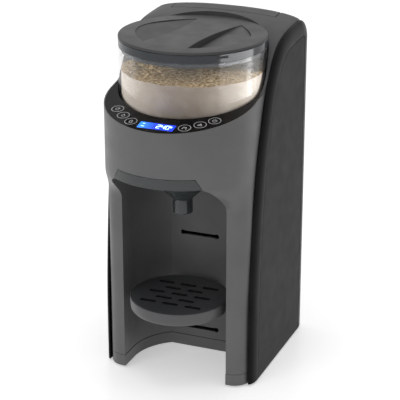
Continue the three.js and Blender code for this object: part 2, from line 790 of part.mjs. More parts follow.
// Gears that turn the dosing wheel
const gear_thickness = 5;
const gear_lift = 9;
const gear_low = lip_top + gear_lift;
const spindle_step = 1;
const tooth_root_share = 0.36;
const tooth_tip_share = 0.12;
const dedendum_share = 1.1;
function gearShape(teeth, phase) {
  const radius = (gear_module * teeth) / 2;
  const pitch = (2 * Math.PI) / teeth;
  const points = [];
  for (let tooth = 0; tooth < teeth; tooth += 1) {
    const middle = phase + tooth * pitch;
    const corners = [
      [-tooth_root_share, radius - dedendum_share * gear_module],
      [-tooth_tip_share, radius + addendum_share * gear_module],
      [tooth_tip_share, radius + addendum_share * gear_module],
      [tooth_root_share, radius - dedendum_share * gear_module],
    ];
    for (const [turn, reach] of corners) {
      const angle = middle + turn * pitch;
      points.push([reach * Math.cos(angle), reach * Math.sin(angle)]);
    }
  }
  return shapeOf(points);
}

function driveGear() {
  const phase = motor_angle + Math.PI / gear_teeth;
  const disc = prism(gearShape(gear_teeth, phase), gear_low, gear_low + gear_thickness);
  const hub = rod(spindle_radius * 2, gear_low - gap, gear_low + gear_thickness + gap, 0, 0, 24);
  return disc.add(hub).subtract(rod(spindle_radius - spindle_step, gear_low - overrun, gear_low + overrun * 3, 0, 0, 24));
}

const dog_size = 6;
const dog_height = 7;
function driveSpindle() {
  const neck = spindle_radius - spindle_step - gap / 2;
  const shaft = rod(neck, gear_low - gap, gear_low + gear_thickness + gap, 0, 0, 24);
  const journal = rod(spindle_radius, gear_low + gear_thickness + 2 * gap, seat_top + gap, 0, 0, 24);
  const link = rod(neck, gear_low, seat_top, 0, 0, 24);
  const dog = block(-dog_size / 2, dog_size / 2, -dog_size / 2, dog_size / 2, seat_top, hopper_low + dog_height);
  return joined([shaft, journal, link, dog]);
}

const motor_shaft = pinion_radius / 3;
function motorPinion() {
  const phase = motor_angle + Math.PI;
  const geometry = extruded(gearShape(pinion_teeth, phase), gear_thickness)
    .translate(motor_place[0], motor_place[1], gear_low);
  const bore = rod(motor_shaft + gap / 2, gear_low - overrun, gear_low + gear_thickness + overrun, ...motor_place, 20);
  return solid(geometry).subtract(bore);
}

const motor_height = 15;
function dosingMotor() {
  const top = gear_low - 3 * gap - bracket_thickness;
  const body = rod(motor_radius, top - motor_height, top, ...motor_place, 36);
  const boss = rod(motor_shaft * 2, top, gear_low - gap, ...motor_place, 20);
  const shaft = rod(motor_shaft, top, gear_low + gear_thickness, ...motor_place, 20);
  return joined([body, boss, shaft]);
}
const bracket_thickness = 2;

function motorBracket() {
  const low = gear_low - 2 * gap - bracket_thickness;
  const near = motor_place[1] - motor_radius + gap;
  const plate = block(motor_place[0] - motor_radius, head_radius - wall - gap, near, front_back - wall,
    low, low + bracket_thickness);
  const post_far = front_back - wall;
  const post = block(head_radius - wall - gap - bracket_arm, head_radius - wall - gap, near, post_far,
    low, seat_low - gap);
  const hole = rod(motor_shaft * 2 + gap, low - overrun, low + overrun, ...motor_place, 24);
  return plate.add(post).subtract(hole);
}
const bracket_arm = 4;

// Clear hopper with a flat floor
const hopper_floor = 3;
const hub_radius = 7;
const hopper_foot = 3;
function hopper() {
  const inner = hopper_radius - hopper_wall;
  const cup = turned([
    [0, hopper_low], [hopper_radius - hopper_foot, hopper_low], [hopper_radius, hopper_low + hopper_foot],
    [hopper_radius, hopper_top], [inner, hopper_top], [inner, hopper_low + hopper_floor],
    [0, hopper_low + hopper_floor],
  ], 0, 0, 56);
  const outlet = rod(outlet_radius, hopper_low - overrun, hopper_low + overrun, 0, -outlet_offset, 32);
  const centre = rod(hub_radius + gap / 2, hopper_low - overrun, hopper_low + overrun, 0, 0, 32);
  return cup.subtract(outlet).subtract(centre);
}

const dosing_count = 6;
const wheel_low = hopper_low + hopper_floor + gap;
function dosingWheel() {
  const disc = rod(wheel_radius, wheel_low, wheel_low + wheel_thickness, 0, 0, 40);
  const hub = rod(hub_radius, hopper_low + gap, wheel_low + wheel_thickness, 0, 0, 32);
  const pockets = [];
  for (let index = 0; index < dosing_count; index += 1) {
    const angle = (2 * Math.PI * (index + 0.5)) / dosing_count;
    pockets.push(rod(outlet_radius - 2 * gap, wheel_low - overrun, wheel_low + wheel_thickness + overrun,
      outlet_offset * Math.cos(angle), outlet_offset * Math.sin(angle), 16));
  }
  const half = dog_size / 2 + gap / 2;
  const socket = block(-half, half, -half, half, hopper_low - overrun, hopper_low + dog_height + gap);
  return disc.add(hub).subtract(joined(pockets)).subtract(socket);
}

const stirrer_clear = 9.6;
const stirrer_reach = hopper_radius - hopper_wall - stirrer_clear;
const stirrer_bar = 4;
const stirrer_height = 18;
function stirrer() {
  const low = wheel_low + wheel_thickness + gap;
  const hub = rod(hub_radius, low, low + stirrer_height, 0, 0, 24);
  const arm = block(-stirrer_reach, stirrer_reach, -stirrer_bar / 2, stirrer_bar / 2, low, low + stirrer_bar);
  const fingers = [-1, 1].map((side) => block(
    Math.min(side * stirrer_reach, side * (stirrer_reach - stirrer_bar)),
    Math.max(side * stirrer_reach, side * (stirrer_reach - stirrer_bar)),
    -stirrer_bar / 2, stirrer_bar / 2, low, low + stirrer_height,
  ));
  return joined([hub, arm, ...fingers]);
}

// Powder that fills the hopper, with the room that the stirrer sweeps left free
function powder() {
  const low = wheel_low + wheel_thickness + gap;
  const swept = low + stirrer_height + 2 * gap;
  const outer = hopper_radius - hopper_wall - gap;
  const inner = Math.hypot(stirrer_reach, stirrer_bar) + 2 * gap;
  const top = hopper_low + powder_height;
  return turned([[0, swept], [inner, swept], [inner, low], [outer, low], [outer, top], [0, top]], 0, 0, 40);
}

// Lid: clear rim band and grey top with two finger hollows beside a waisted grip
const lid_plate = 2.4;
const hollow_depth = 7;
const lid_turn = -9;
const grip_waist = 19;
const grip_end = 24;
const hollow_inset = 14;
const hollow_reach = hopper_radius - hollow_inset;
const hollow_tip_share = 0.96;
function lidRim() {
  const low = hopper_top + gap;
  const high = lid_top - lid_plate - gap;
  const flange_inner = hopper_radius - hopper_wall * 3;
  const spigot = hopper_radius - hopper_wall - gap;
  const drop = hopper_wall * 2;
  return turned([
    [spigot - hopper_wall, low - drop], [spigot, low - drop], [spigot, low], [hopper_radius, low],
    [hopper_radius, high], [flange_inner, high], [flange_inner, high - hopper_wall],
    [spigot - hopper_wall, high - hopper_wall], [spigot - hopper_wall, low - drop],
  ], 0, 0, 56);
}

function hollowShape(side, grow) {
  const shape = new THREE.Shape();
  const span = Math.sqrt(hollow_reach * hollow_reach - grip_end * grip_end);
  const tip = span * hollow_tip_share;
  shape.moveTo(side * (grip_end - grow), -tip - grow);
  shape.quadraticCurveTo(side * (2 * grip_waist - grip_end - grow), 0, side * (grip_end - grow), tip + grow);
  shape.quadraticCurveTo(side * (2 * hollow_reach - grip_end + grow), 0, side * (grip_end - grow), -tip - grow);
  return shape;
}

function hopperLid() {
  const low = lid_top - lid_plate;
  const plate = rod(hopper_radius, low, lid_top, 0, 0, 56);
  const floor = lid_top - hollow_depth;
  const bowls = [-1, 1].map((side) => prism(hollowShape(side, hopper_wall / 2), floor - lid_plate, lid_top - gap, 8));
  const hollows = [-1, 1].map((side) => prism(hollowShape(side, 0), floor, lid_top + overrun, 8));
  return joined([plate, ...bowls]).subtract(joined(hollows)).rotate([0, 0, lid_turn]);
}

// Control panel on the deck, with its display and six buttons
const display_width = 36;
const display_length = 11.5;
const display_frame = 1;
const display_setback = 13;
const display_place = display_setback - front_reach;
const button_radius = 6.3;
const button_travel = 0.8;
const button_clear = 2.7;
const button_pitch = 14.6;
const button_inset = 11.4;
const button_lead = 1.6;
const button_count = 3;
const panel_back = -13;
const window_thickness = 1.2;

// Body built level around the origin, then set on the deck at x, y with its own Z square to it
function onDeck(geometry, x, y, lift) {
  geometry.rotateX(deck_tilt);
  const rise = lift / Math.cos(deck_tilt);
  return solid(geometry.translate(x, y, deckLevel(y) + rise));
}

function discOnDeck(radius, low, high, x, y, sides = 20) {
  const geometry = new THREE.CylinderGeometry(radius, radius, high - low, sides);
  geometry.rotateX(Math.PI / 2).translate(0, 0, (low + high) / 2);
  return onDeck(geometry, x, y, 0);
}

function plateOnDeck(half_x, half_y, low, high, x, y) {
  const geometry = new THREE.BoxGeometry(2 * half_x, 2 * half_y, high - low);
  geometry.translate(0, 0, (low + high) / 2);
  return onDeck(geometry, x, y, 0);
}

// The first button on each side stands beside the display, and the others follow round the head
function buttonCentres() {
  const places = [];
  for (let index = 0; index < button_count; index += 1) {
    const first = Math.asin((display_width / 2 + button_clear + button_radius) / (head_radius - button_inset + button_lead));
    const out = head_radius - button_inset + (index === 0 ? button_lead : 0);
    const angle = first + (index * button_pitch) / (head_radius - button_inset);
    const x = out * Math.sin(angle);
    const y = -head_setback - out * Math.cos(angle);
    places.push([-x, y], [x, y]);
  }
  return places;
}

function crescent(inset, pocket, back, below, above) {
  const plan = prism(shapeOf(casingOutline(inset, 1, panel_back)), deck_front - height, height + overrun);
  return plan.subtract(rod(pocket, deck_front - height - overrun, height + 2 * overrun, 0, 0, 56))
    .intersect(deckSlab(below, above))
    .subtract(block(-width, width, back, width, 0, height + 2 * overrun));
}

function controlPanel() {
  const body = crescent(panel_rim, pocket_radius, panel_back, -panel_thickness, 0);
  const holes = buttonCentres().map(([x, y]) => discOnDeck(button_radius + gap / 2, -2 * overrun, overrun, x, y));
  const seat = plateOnDeck(display_width / 2, display_length / 2, -window_thickness - gap, overrun, 0, display_place);
  const light = plateOnDeck(display_width / 2 - display_frame, display_length / 2 - display_frame, -2 * overrun, overrun, 0, display_place);
  return body.subtract(joined([...holes, seat, light]));
}

function displayWindow() {
  return plateOnDeck(display_width / 2 - gap / 2, display_length / 2 - gap / 2, -window_thickness, 0, 0, display_place);
}

const module_thickness = 2.4;
const module_low = -panel_thickness - gap - module_thickness;
function displayModule() {
  return plateOnDeck(display_width / 2, display_length / 2 - gap, module_low, module_low + module_thickness, 0, display_place);
}

const board_thickness = 1.6;
const board_high = module_low - gap;
function buttonBoard() {
  const inset = wall + gap;
  const below = (board_high - board_thickness) / Math.cos(deck_tilt);
  const above = board_high / Math.cos(deck_tilt);
  return crescent(inset, pocket_radius + gap, display_place + display_width, below, above);
}

const stem_radius = 2.2;
function button(x, y) {
  const cap = discOnDeck(button_radius, -panel_thickness + button_travel, gap, x, y);
  const stem = discOnDeck(stem_radius, board_high + button_travel + gap / 2, -panel_thickness / 2, x, y, 10);
  return cap.add(stem);
}

// Mixing funnel that slides out to the front
const funnel_wall = 2;
const flange_lap = 3.5;
const bowl_clear = 2;
const flange_half = bay_half - ledge_width + flange_lap;
const bowl_radius = bay_half - ledge_width - bowl_clear;
const spout_radius = 10;
const spout_length = 15;
const cone_height = 27;
const rim_drop = 14;
const flange_lift = 3.6;
const flange_clear = 10;
const flange_back = motor_place[1] - motor_radius - flange_clear;
function funnel() {
  const lip_solid = prism(shapeOf(casingOutline(0, 1, 0)), bay_top - overrun, lip_top + overrun)
    .subtract(prism(shapeOf(casingOutline(wall, 1, overrun)), bay_top - 2 * overrun, lip_top + 2 * overrun))
    .intersect(frontPrism(mouthShape(0), -front_reach - overrun, -head_setback));
  const flange_low = bay_top + ledge_height;
  const flange_high = lip_top - flange_lift + funnel_wall;
  const flange = prism(shapeOf(casingOutline(wall / 2, 1, flange_back)), flange_low, flange_high)
    .intersect(block(-flange_half, flange_half, -front_reach, flange_back, flange_low - overrun, flange_high + overrun))
    .intersect(frontPrism(mouthShape(-gap), -front_reach, flange_back));
  const bowl_low = flange_low - rim_drop;
  const cone_low = bowl_low - cone_height;
  const spout_low = cone_low - spout_length;
  const outer = turned([
    [0, spout_low], [spout_radius, spout_low], [spout_radius, cone_low], [bowl_radius, bowl_low],
    [bowl_radius, flange_high], [0, flange_high],
  ], 0, -head_setback, 40);
  const inner = turned([
    [0, spout_low - overrun], [spout_radius - funnel_wall, spout_low - overrun],
    [spout_radius - funnel_wall, cone_low + funnel_wall / 2], [bowl_radius - funnel_wall, bowl_low + funnel_wall / 2],
    [bowl_radius - funnel_wall, flange_high + overrun], [0, flange_high + overrun],
  ], 0, -head_setback, 40);
  return joined([lip_solid, flange, outer]).subtract(inner);
}

// Drip tray hooked into the bay's back, with a slotted grate
const tray_clear = 5.5;
const tray_radius = bay_half - tray_clear;
const tray_height = 13;
const tray_wall = 2.2;
const tray_lift = 7;
const tray_back = 4.5;
const tray_top = tray_level_middle + tray_lift;
const tray_place = bay_depth - tray_radius - tray_back;
const grate_thickness = 2.6;
function dripTray() {
  const low = tray_top - tray_height;
  const ledge = tray_top - grate_thickness - gap;
  const lip = tray_wall / 2;
  const bowl = turned([
    [0, low], [tray_radius - tray_wall, low], [tray_radius, low + tray_wall], [tray_radius, tray_top],
    [tray_radius - lip, tray_top], [tray_radius - lip, ledge], [tray_radius - tray_wall, ledge],
    [tray_radius - tray_wall, low + tray_wall], [0, low + tray_wall],
  ], 0, tray_place, 44);
  const level = tray_level_middle;
  const thick = tray_hook_thickness / 2;
  const hook = block(-tray_hook_half, tray_hook_half, tray_place + tray_radius - 2 * tray_wall,
    bay_depth + wall / 2, level - thick, level + thick);
  const clear_bowl = rod(tray_radius - tray_wall - gap / 4, low + tray_wall, tray_top, 0, tray_place, 44);
  return bowl.add(hook.subtract(clear_bowl));
}

const slot_rows = 5;
const slot_pitch = 12;
const slot_width = 5;
const slot_length = 17;
const slot_gap = 7;
function dripGrate() {
  const radius = tray_radius - tray_wall / 2 - gap;
  const low = tray_top - grate_thickness;
  const disc = rod(radius, low, tray_top - gap / 2, 0, tray_place, 44);
  const slots = [];
  const reach = radius - slot_gap;
  for (let row = 0; row < slot_rows; row += 1) {
    const y = (row - (slot_rows - 1) / 2) * slot_pitch;
    const shift = row % 2 === 0 ? 0 : (slot_length + slot_gap) / 2;
    for (let column = -2; column <= 2; column += 1) {
      const x = column * (slot_length + slot_gap) + shift;
      const far = Math.abs(x) + slot_length / 2;
      if (Math.hypot(far, y) > reach) continue;
      slots.push(block(x - slot_length / 2, x + slot_length / 2, tray_place + y - slot_width / 2,
        tray_place + y + slot_width / 2, low - overrun, tray_top + overrun));
    }
  }
  return disc.subtract(joined(slots));
}

// Pump, heater, pipes and boards behind the bay
const works_room = 3;
const works_near = bay_depth + wall + works_room;
const works_back = 1;
const works_far = tank_near - gap - bay_wall - works_back;
const pump_radius = 13;
const pump_setback = 4;
const pump_room = 13.6;
const pump_cradle = 3;
const pump_level = base_top + gap + pump_radius + pump_cradle;
const pump_x = -34;
function pump() {
  const near = works_near + pump_setback;
  const far = works_far - pump_room;
  const body = lyingRod(pump_radius, near, far, pump_x, pump_level, 28);
  const cradle = block(pump_x - pump_radius, pump_x + pump_radius, near, far, body_low, pump_level - pump_radius / 2);
  return body.add(cradle);
}

const heater_radius = 14;
const heater_length = 110;
const heater_x = 30;
const heater_low = 70;
const heater_y = (works_near + works_far) / 2;
const heater_stub = 4;
const heater_stub_wall = 2;
const heater_bore = 2;
const heater_bracket_half = 5;
const heater_bracket_height = 20;
function heater() {
  const high = heater_low + heater_length;
  const body = rod(heater_radius, heater_low, high, heater_x, heater_y, 32);
  const stub = rod(pipe_radius + heater_stub_wall, heater_low - heater_stub, high + heater_stub, heater_x, heater_y, 20);
  const bracket_low = heater_low + heater_bracket_height;
  const bracket = block(heater_x - heater_bracket_half, heater_x + heater_bracket_half, heater_y,
    works_far + works_back - gap, bracket_low, bracket_low + heater_bracket_height);
  const bore_radius = pipe_radius + 2 * gap;
  const lower_bore = rod(bore_radius, heater_low - overrun - heater_stub, heater_low + heater_bore, heater_x, heater_y, 20);
  const upper_bore = rod(bore_radius, high - heater_bore, high + heater_stub + overrun, heater_x, heater_y, 20);
  return joined([body, stub, bracket]).subtract(lower_bore).subtract(upper_bore);
}

const pipe_radius = 3;
const suction_radius = 2.4;
const pipe_bend = 8;
const pipe_step = 2;
function pipe(points, radius, steps) {
  const curve = new THREE.CatmullRomCurve3(points.map(([x, y, z]) => new THREE.Vector3(x, y, z)));
  const section = new THREE.Shape().absarc(0, 0, radius, 0, 2 * Math.PI, false);
  return solid(new THREE.ExtrudeGeometry(section, { extrudePath: curve, steps, bevelEnabled: false, curveSegments: 4 }));
}

function suctionPipe() {
  const y = valve_place[1];
  const top = tank_low - 4 * bay_wall;
  const wire_level = body_low + boss_height;
  return pipe([
    [0, y, top], [0, y, top - pipe_bend], [-pipe_step, y - pipe_bend, wire_level + pipe_step / 2],
    [0, tank_near, wire_level], [0, tank_near - pipe_bend - 2 * pipe_step, wire_level],
    [-pipe_bend - 3 * pipe_step, heater_y + 2 * pipe_step, pump_level + pipe_step],
    [pump_x + pump_radius + pipe_step, heater_y, pump_level],
  ], suction_radius, 20);
}

function pressurePipe() {
  const x = pump_x + pipe_step;
  const top = pump_level + pump_radius;
  return pipe([
    [x, heater_y, top + gap], [x, heater_y, top + pipe_bend], [x + 3 * pipe_bend, heater_y, top + pipe_bend + pipe_step],
    [heater_x - pipe_bend, heater_y, heater_low - pipe_bend - 2 * pipe_step],
    [heater_x, heater_y, heater_low - pipe_bend], [heater_x, heater_y, heater_low + pipe_radius / 2],
  ], pipe_radius, 16);
}

// Way of the delivery pipe from the heater to the nozzle, as shares of the way across and up
const delivery_way_shares = [[0.23, 0.55], [0.82, 0.66], [0.92, 0.74]];
const nozzle_drop = 6;
const nozzle_level = gear_low - nozzle_drop;
function deliveryPipe() {
  const top = heater_low + heater_length;
  const way = delivery_way_shares.map(([across, up], index) => [
    THREE.MathUtils.lerp(heater_x, nozzle_x, across), heater_y - index * pipe_step,
    THREE.MathUtils.lerp(top, nozzle_level, up),
  ]);
  const end = nozzle_far + pipe_step / 2;
  return pipe([
    [heater_x, heater_y, top - pipe_radius / 2], [heater_x, heater_y, top + pipe_bend + 2 * pipe_step], ...way,
    [nozzle_x, end + pipe_bend, nozzle_level], [nozzle_x, end, nozzle_level],
  ], pipe_radius, 22);
}

const nozzle_radius = 4;
const nozzle_bore = 1.5;
const nozzle_clear = 1.875;
const nozzle_x = -gear_outside - nozzle_radius - nozzle_clear;
const nozzle_near = -12;
const nozzle_far = 20;
const nozzle_arm = 8;
function waterNozzle() {
  const level = nozzle_level;
  const body = lyingRod(nozzle_radius, nozzle_near, nozzle_far, nozzle_x, level, 16);
  const tip = rod(nozzle_radius, lip_top - flange_lift + funnel_wall + gap, level, nozzle_x, nozzle_near, 16);
  const arm_near = nozzle_near + nozzle_radius / 2;
  const arm = block(nozzle_x - nozzle_radius, nozzle_x + nozzle_radius, arm_near, arm_near + nozzle_arm, level, seat_low - gap);
  const bore = rod(nozzle_bore, level - 2 * nozzle_radius, level - nozzle_bore / 2, nozzle_x, nozzle_near, 12);
  return joined([body, tip, arm]).subtract(bore);
}

const board_gap = 1;
const board_side = 4;
const board_width = 38;
const board_height = 90;
const board_low = 100;
const chip_half = 5;
const chip_thickness = 3;
// Where the chips lie on the board, as shares of its width and height
const chip_place_shares = [[0.26, 0.22], [0.68, 0.44], [0.32, 0.72]];
function controlBoard() {
  const far = works_far + board_gap - gap;
  const left = -tank_half - board_side;
  const face = far - board_thickness;
  const plate = block(left, left + board_width, face, far, board_low, board_low + board_height);
  const chips = chip_place_shares.map(([across, up]) => {
    const x = left + across * board_width;
    const z = board_low + up * board_height;
    return block(x - chip_half, x + chip_half, face - chip_thickness, face + board_thickness / 2,
      z - chip_half, z + chip_half);
  });
  return joined([plate, ...chips]);
}

const power_left = 10;
const power_side = 4;
const power_margin = 6;
const transformer_width = 18;
const capacitor_radius = 6;
const capacitor_height = 24;
const capacitor_setback = 20;
function powerBoard() {
  const low = body_low;
  const right = tank_half - power_side;
  const near = works_near + power_margin;
  const core_left = power_left + power_margin;
  const top = low + capacitor_height;
  const plate = block(power_left, right, near, works_far - power_margin / 3, low, low + board_thickness);
  const transformer = block(core_left, core_left + transformer_width, near + power_margin, works_far - 2 * power_margin,
    low + board_thickness / 2, top - board_thickness);
  const capacitor = rod(capacitor_radius, low + board_thickness / 2, top, right - capacitor_radius - board_thickness,
    works_near + capacitor_setback, 20);
  return joined([plate, transformer, capacitor]);
}

const inlet_depth = 11;
const inlet_wall = 2;
const inlet_lip = 3;
const inlet_floor = 4;
const pin_radius = 1.2;
const pin_offset = 4;
function powerInlet() {
  const near = rear_reach - wall - gap - inlet_depth;
  const half = inlet_half;
  const tall = inlet_height / 2;
  const body = block(-half, half, near, rear_reach - gap, inlet_level - tall, inlet_level + tall);
  const recess = block(-half + inlet_wall, half - inlet_wall, near + inlet_floor, rear_reach + overrun,
    inlet_level - tall + inlet_lip, inlet_level + tall - inlet_lip);
  const pins = [-pin_offset, pin_offset].map((x) =>
    lyingRod(pin_radius, near + inlet_floor / 2, rear_reach - inlet_floor, x, inlet_level, 12));
  const post = block(-half + inlet_wall, half - inlet_wall, near, near + inlet_lip, body_low, inlet_level);
  return joined([body.subtract(recess), ...pins, post]);
}

// All the sub-parts
const machine = new THREE.Group();
footPlaces().forEach(([x, y], index) => part(`rubber_foot_${index + 1}`, foot(x, y), rubber));
fixings().forEach(([x, y], index) => part(`base_screw_${index + 1}`, screw(x, y), steel));
part("base_plate", basePlate(), grey);
part("front_casing", frontCasing(), grey);
part("bay_lining", bayLining(), grey);
part("hood", hood(), grey);
part("rear_cover", rearCover(), black);
part("tank_bay", tankBay(), black);
part("side_panel_left", sidePanel(-1), dark_grey);
part("side_panel_right", sidePanel(1), dark_grey);
part("side_trim_left", sideTrim(-1), gloss_black);
part("side_trim_right", sideTrim(1), gloss_black);
part("hopper_seat", hopperSeat(), black);
part("hopper", hopper(), clear);
part("powder_fill", powder(), cream);
part("dosing_wheel", dosingWheel(), white);
part("stirrer", stirrer(), white);
part("lid_rim", lidRim(), smoke);
part("hopper_lid", hopperLid(), grey);
part("control_panel", controlPanel(), gloss_black);
part("display_window", displayWindow(), blue);
part("display_module", displayModule(), black);
part("button_board", buttonBoard(), green);
buttonCentres().forEach(([x, y], index) => part(`button_${index + 1}`, button(x, y), gloss_black));
part("funnel", funnel(), smoke);
part("drip_tray", dripTray(), grey);
part("drip_grate", dripGrate(), dark_grey);
part("drive_gear", driveGear(), white);
part("drive_spindle", driveSpindle(), steel);
part("motor_pinion", motorPinion(), white);
part("dosing_motor", dosingMotor(), steel);
part("motor_bracket", motorBracket(), steel);
part("water_tank", waterTank(), smoke);
part("tank_valve", tankValve(), white);
part("valve_spring", valveSpring(), steel);
part("valve_cage", valveCage(), smoke);
part("tank_lid", tankLid(), grey);
part("pump", pump(), black);
part("heater", heater(), steel);
part("suction_pipe", suctionPipe(), white);
part("pressure_pipe", pressurePipe(), white);
part("delivery_pipe", deliveryPipe(), white);
part("water_nozzle", waterNozzle(), white);
part("control_board", controlBoard(), green);
part("power_board", powerBoard(), green);
part("power_inlet", powerInlet(), black);
machine.add(...meshes);
machine.position.y = (front_reach - rear_reach) / 2;

export default machine;
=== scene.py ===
# %% [markdown]
# # A counter-top baby formula maker, dressed for a studio picture
#
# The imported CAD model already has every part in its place. This script keeps it as a fixed frame, rebuilds the
# parts that show as smooth, rounded meshes on the same sizes, gives every part a procedural material, and sets
# up the camera, the lights and the floor. Sizes are written in millimetres, as in the CAD source, with the
# hopper's axis at x = 0, y = 0. One function turns them into the frame's metres.

# %% Load the frame
import json
import math
import random

import bmesh
import bpy
from mathutils import Matrix, Vector


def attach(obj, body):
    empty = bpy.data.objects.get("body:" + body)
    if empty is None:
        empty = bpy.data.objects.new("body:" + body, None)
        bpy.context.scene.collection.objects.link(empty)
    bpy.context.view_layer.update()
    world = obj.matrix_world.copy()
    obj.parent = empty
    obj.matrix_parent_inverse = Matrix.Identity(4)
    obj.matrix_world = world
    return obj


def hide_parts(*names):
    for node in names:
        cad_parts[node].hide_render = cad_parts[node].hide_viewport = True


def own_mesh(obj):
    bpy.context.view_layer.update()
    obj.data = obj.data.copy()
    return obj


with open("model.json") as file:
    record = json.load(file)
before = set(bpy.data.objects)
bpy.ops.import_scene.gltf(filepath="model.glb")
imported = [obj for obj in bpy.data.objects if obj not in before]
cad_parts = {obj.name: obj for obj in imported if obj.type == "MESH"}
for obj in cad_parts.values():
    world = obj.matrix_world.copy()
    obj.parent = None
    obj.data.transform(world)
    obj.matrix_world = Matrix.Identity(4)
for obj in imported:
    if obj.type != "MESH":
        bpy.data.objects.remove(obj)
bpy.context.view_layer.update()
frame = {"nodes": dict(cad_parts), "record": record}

# %% [markdown]
# ## Sizes
#
# The real machine is set out from a few driving sizes: its width and height, the radius of its head, and how far
# it reaches before and behind the hopper's axis. The meshes could be measured off the frame instead, but worked
# out from the same sizes as the CAD source they land on the solids they stand for, and stay smooth.

# %% Driving sizes
MM = 0.001
width, height = 162, 351.9
shoulder_rise, shoulder_run = 6, 15
rear_reach, head_setback = 115, 27
head_radius = width / 2 - shoulder_rise
front_reach = head_setback + head_radius
depth = front_reach + rear_reach
shift_y = (front_reach - rear_reach) / 2
wall, gap, overrun = 2.6, 0.4, 4
print("machine:", width, "x", depth, "x", height, "mm")

# %% [markdown]
# ## Solids from rings of points
#
# The machine's parts are outlines raised to a prism, profiles turned about an axis, and outlines that change as
# they climb. They could be modelled by hand from Blender's primitives. Here each one is a list of rings of
# points, each joined to the next, because rings describe all three kinds exactly and repeat on every run.

# %% Rings, lofts and prisms
def to_frame(point):
    """Millimetres about the hopper's axis to metres in the frame."""
    x, y, z = point
    return (x * MM, (y + shift_y) * MM, z * MM)


def mesh_object(points, faces, name="solid"):
    """A mesh in the scene, with doubled points merged and its faces turned outward."""
    mesh = bpy.data.meshes.new(name)
    mesh.from_pydata([to_frame(p) for p in points], [], faces)
    shape = bmesh.new()
    shape.from_mesh(mesh)
    bmesh.ops.remove_doubles(shape, verts=shape.verts, dist=1e-6)
    bmesh.ops.recalc_face_normals(shape, faces=shape.faces)
    shape.to_mesh(mesh)
    shape.free()
    piece = bpy.data.objects.new(name, mesh)
    bpy.context.scene.collection.objects.link(piece)
    return piece


def skin(rings, ends="open"):
    """Joins each ring to the next. A ring of one point is a tip. The ends stay open, or they are capped, or
    joined to each other."""
    rows, count = [], 0
    for ring in rings:
        rows.append(range(count, count + len(ring)))
        count += len(ring)
    faces = []
    for low, high in zip(rows, rows[1:] + (rows[:1] if ends == "joined" else [])):
        for i in range(max(len(low), len(high))):
            corners = (low[i % len(low)], low[(i + 1) % len(low)], high[(i + 1) % len(high)], high[i % len(high)])
            faces.append(tuple(dict.fromkeys(corners)))
    if ends == "capped":
        faces += [tuple(rows[0]), tuple(rows[-1])]
    return mesh_object([point for ring in rings for point in ring], faces)


def prism(outline, low, high):
    return skin([[(x, y, z) for x, y in outline] for z in (low, high)], "capped")


def front_prism(outline, near, far):
    """Outline in X and Z, running along Y."""
    return skin([[(x, y, z) for x, z in outline] for y in (near, far)], "capped")


def side_prism(outline, left, right):
    """Outline in Y and Z, running along X."""
    return skin([[(x, y, z) for y, z in outline] for x in (left, right)], "capped")


def block(x0, x1, y0, y1, z0, z1):
    return prism([(x0, y0), (x1, y0), (x1, y1), (x0, y1)], z0, z1)


print("the machine's top, in the frame's metres:", to_frame((0, 0, height)))

# %% [markdown]
# ## Cutting, joining and rounding
#
# Hollows are cut and ribs are joined with the Boolean modifier, which is applied at once, so that each piece is
# one plain mesh. A real moulding has no knife edges, so a Bevel modifier rounds the sharp edges and leaves the
# smooth ones alone. Edges could be rounded by hand as well, but that would have to be done again after every
# change of size. The thin round is what catches the light.

# %% Cutting, joining and rounding
def combine(target, others, operation):
    """Cuts or joins solids, and leaves one finished mesh."""
    for other in others:
        step = target.modifiers.new("combine", "BOOLEAN")
        step.object = other
        step.operation = operation
        step.solver = "MANIFOLD"
    graph = bpy.context.evaluated_depsgraph_get()
    mesh = bpy.data.meshes.new_from_object(target.evaluated_get(graph))
    target.modifiers.clear()
    target.data = mesh
    for other in others:
        bpy.data.objects.remove(other)
    return target


def cut(target, *others):
    return combine(target, others, "DIFFERENCE")


def join(target, *others):
    return combine(target, others, "UNION")


def keep(target, *others):
    return combine(target, others, "INTERSECT")


def shade_smooth(piece, angle):
    """Smooth shading, broken at edges that turn by more than the angle."""
    for face in piece.data.polygons:
        face.use_smooth = True
    piece.data.set_sharp_from_angle(angle=math.radians(angle))


def soften(piece, radius=0.5, angle=32, segments=2, flat_angle=0.4):
    """Clears what a Boolean leaves on flat faces, shades the moulding smoothly and rounds its edges."""
    shape = bmesh.new()
    shape.from_mesh(piece.data)
    bmesh.ops.remove_doubles(shape, verts=shape.verts, dist=1e-5)
    bmesh.ops.dissolve_limit(shape, angle_limit=math.radians(flat_angle), verts=shape.verts, edges=shape.edges)
    shape.to_mesh(piece.data)
    shape.free()
    shade_smooth(piece, angle)
    if radius > 0:
        bevel = piece.modifiers.new("edges", "BEVEL")
        bevel.width = radius * MM
        bevel.segments = segments
        bevel.limit_method = "ANGLE"
        bevel.angle_limit = math.radians(angle)
        bevel.harden_normals = True
        bevel.use_clamp_overlap = True
    return piece


print("tools for solids: cut, join, keep and soften")

# %% [markdown]
# ## Moulded plastic
#
# Almost all that shows is moulded plastic: satin greys, a gloss panel and dull rubber. Each could be one flat
# colour, but real mouldings are never so even. So each has a base colour with faint clouds, a fine grain in its
# bump, and a roughness that wanders a little, as handled plastic does. All of it is worked out from noise in
# object space, so it stays put when the part moves.

# %% Node helpers
def new_material(name):
    material = bpy.data.materials.new(name)
    material.use_nodes = True
    shader = material.node_tree.nodes["Principled BSDF"]
    return material, material.node_tree, shader


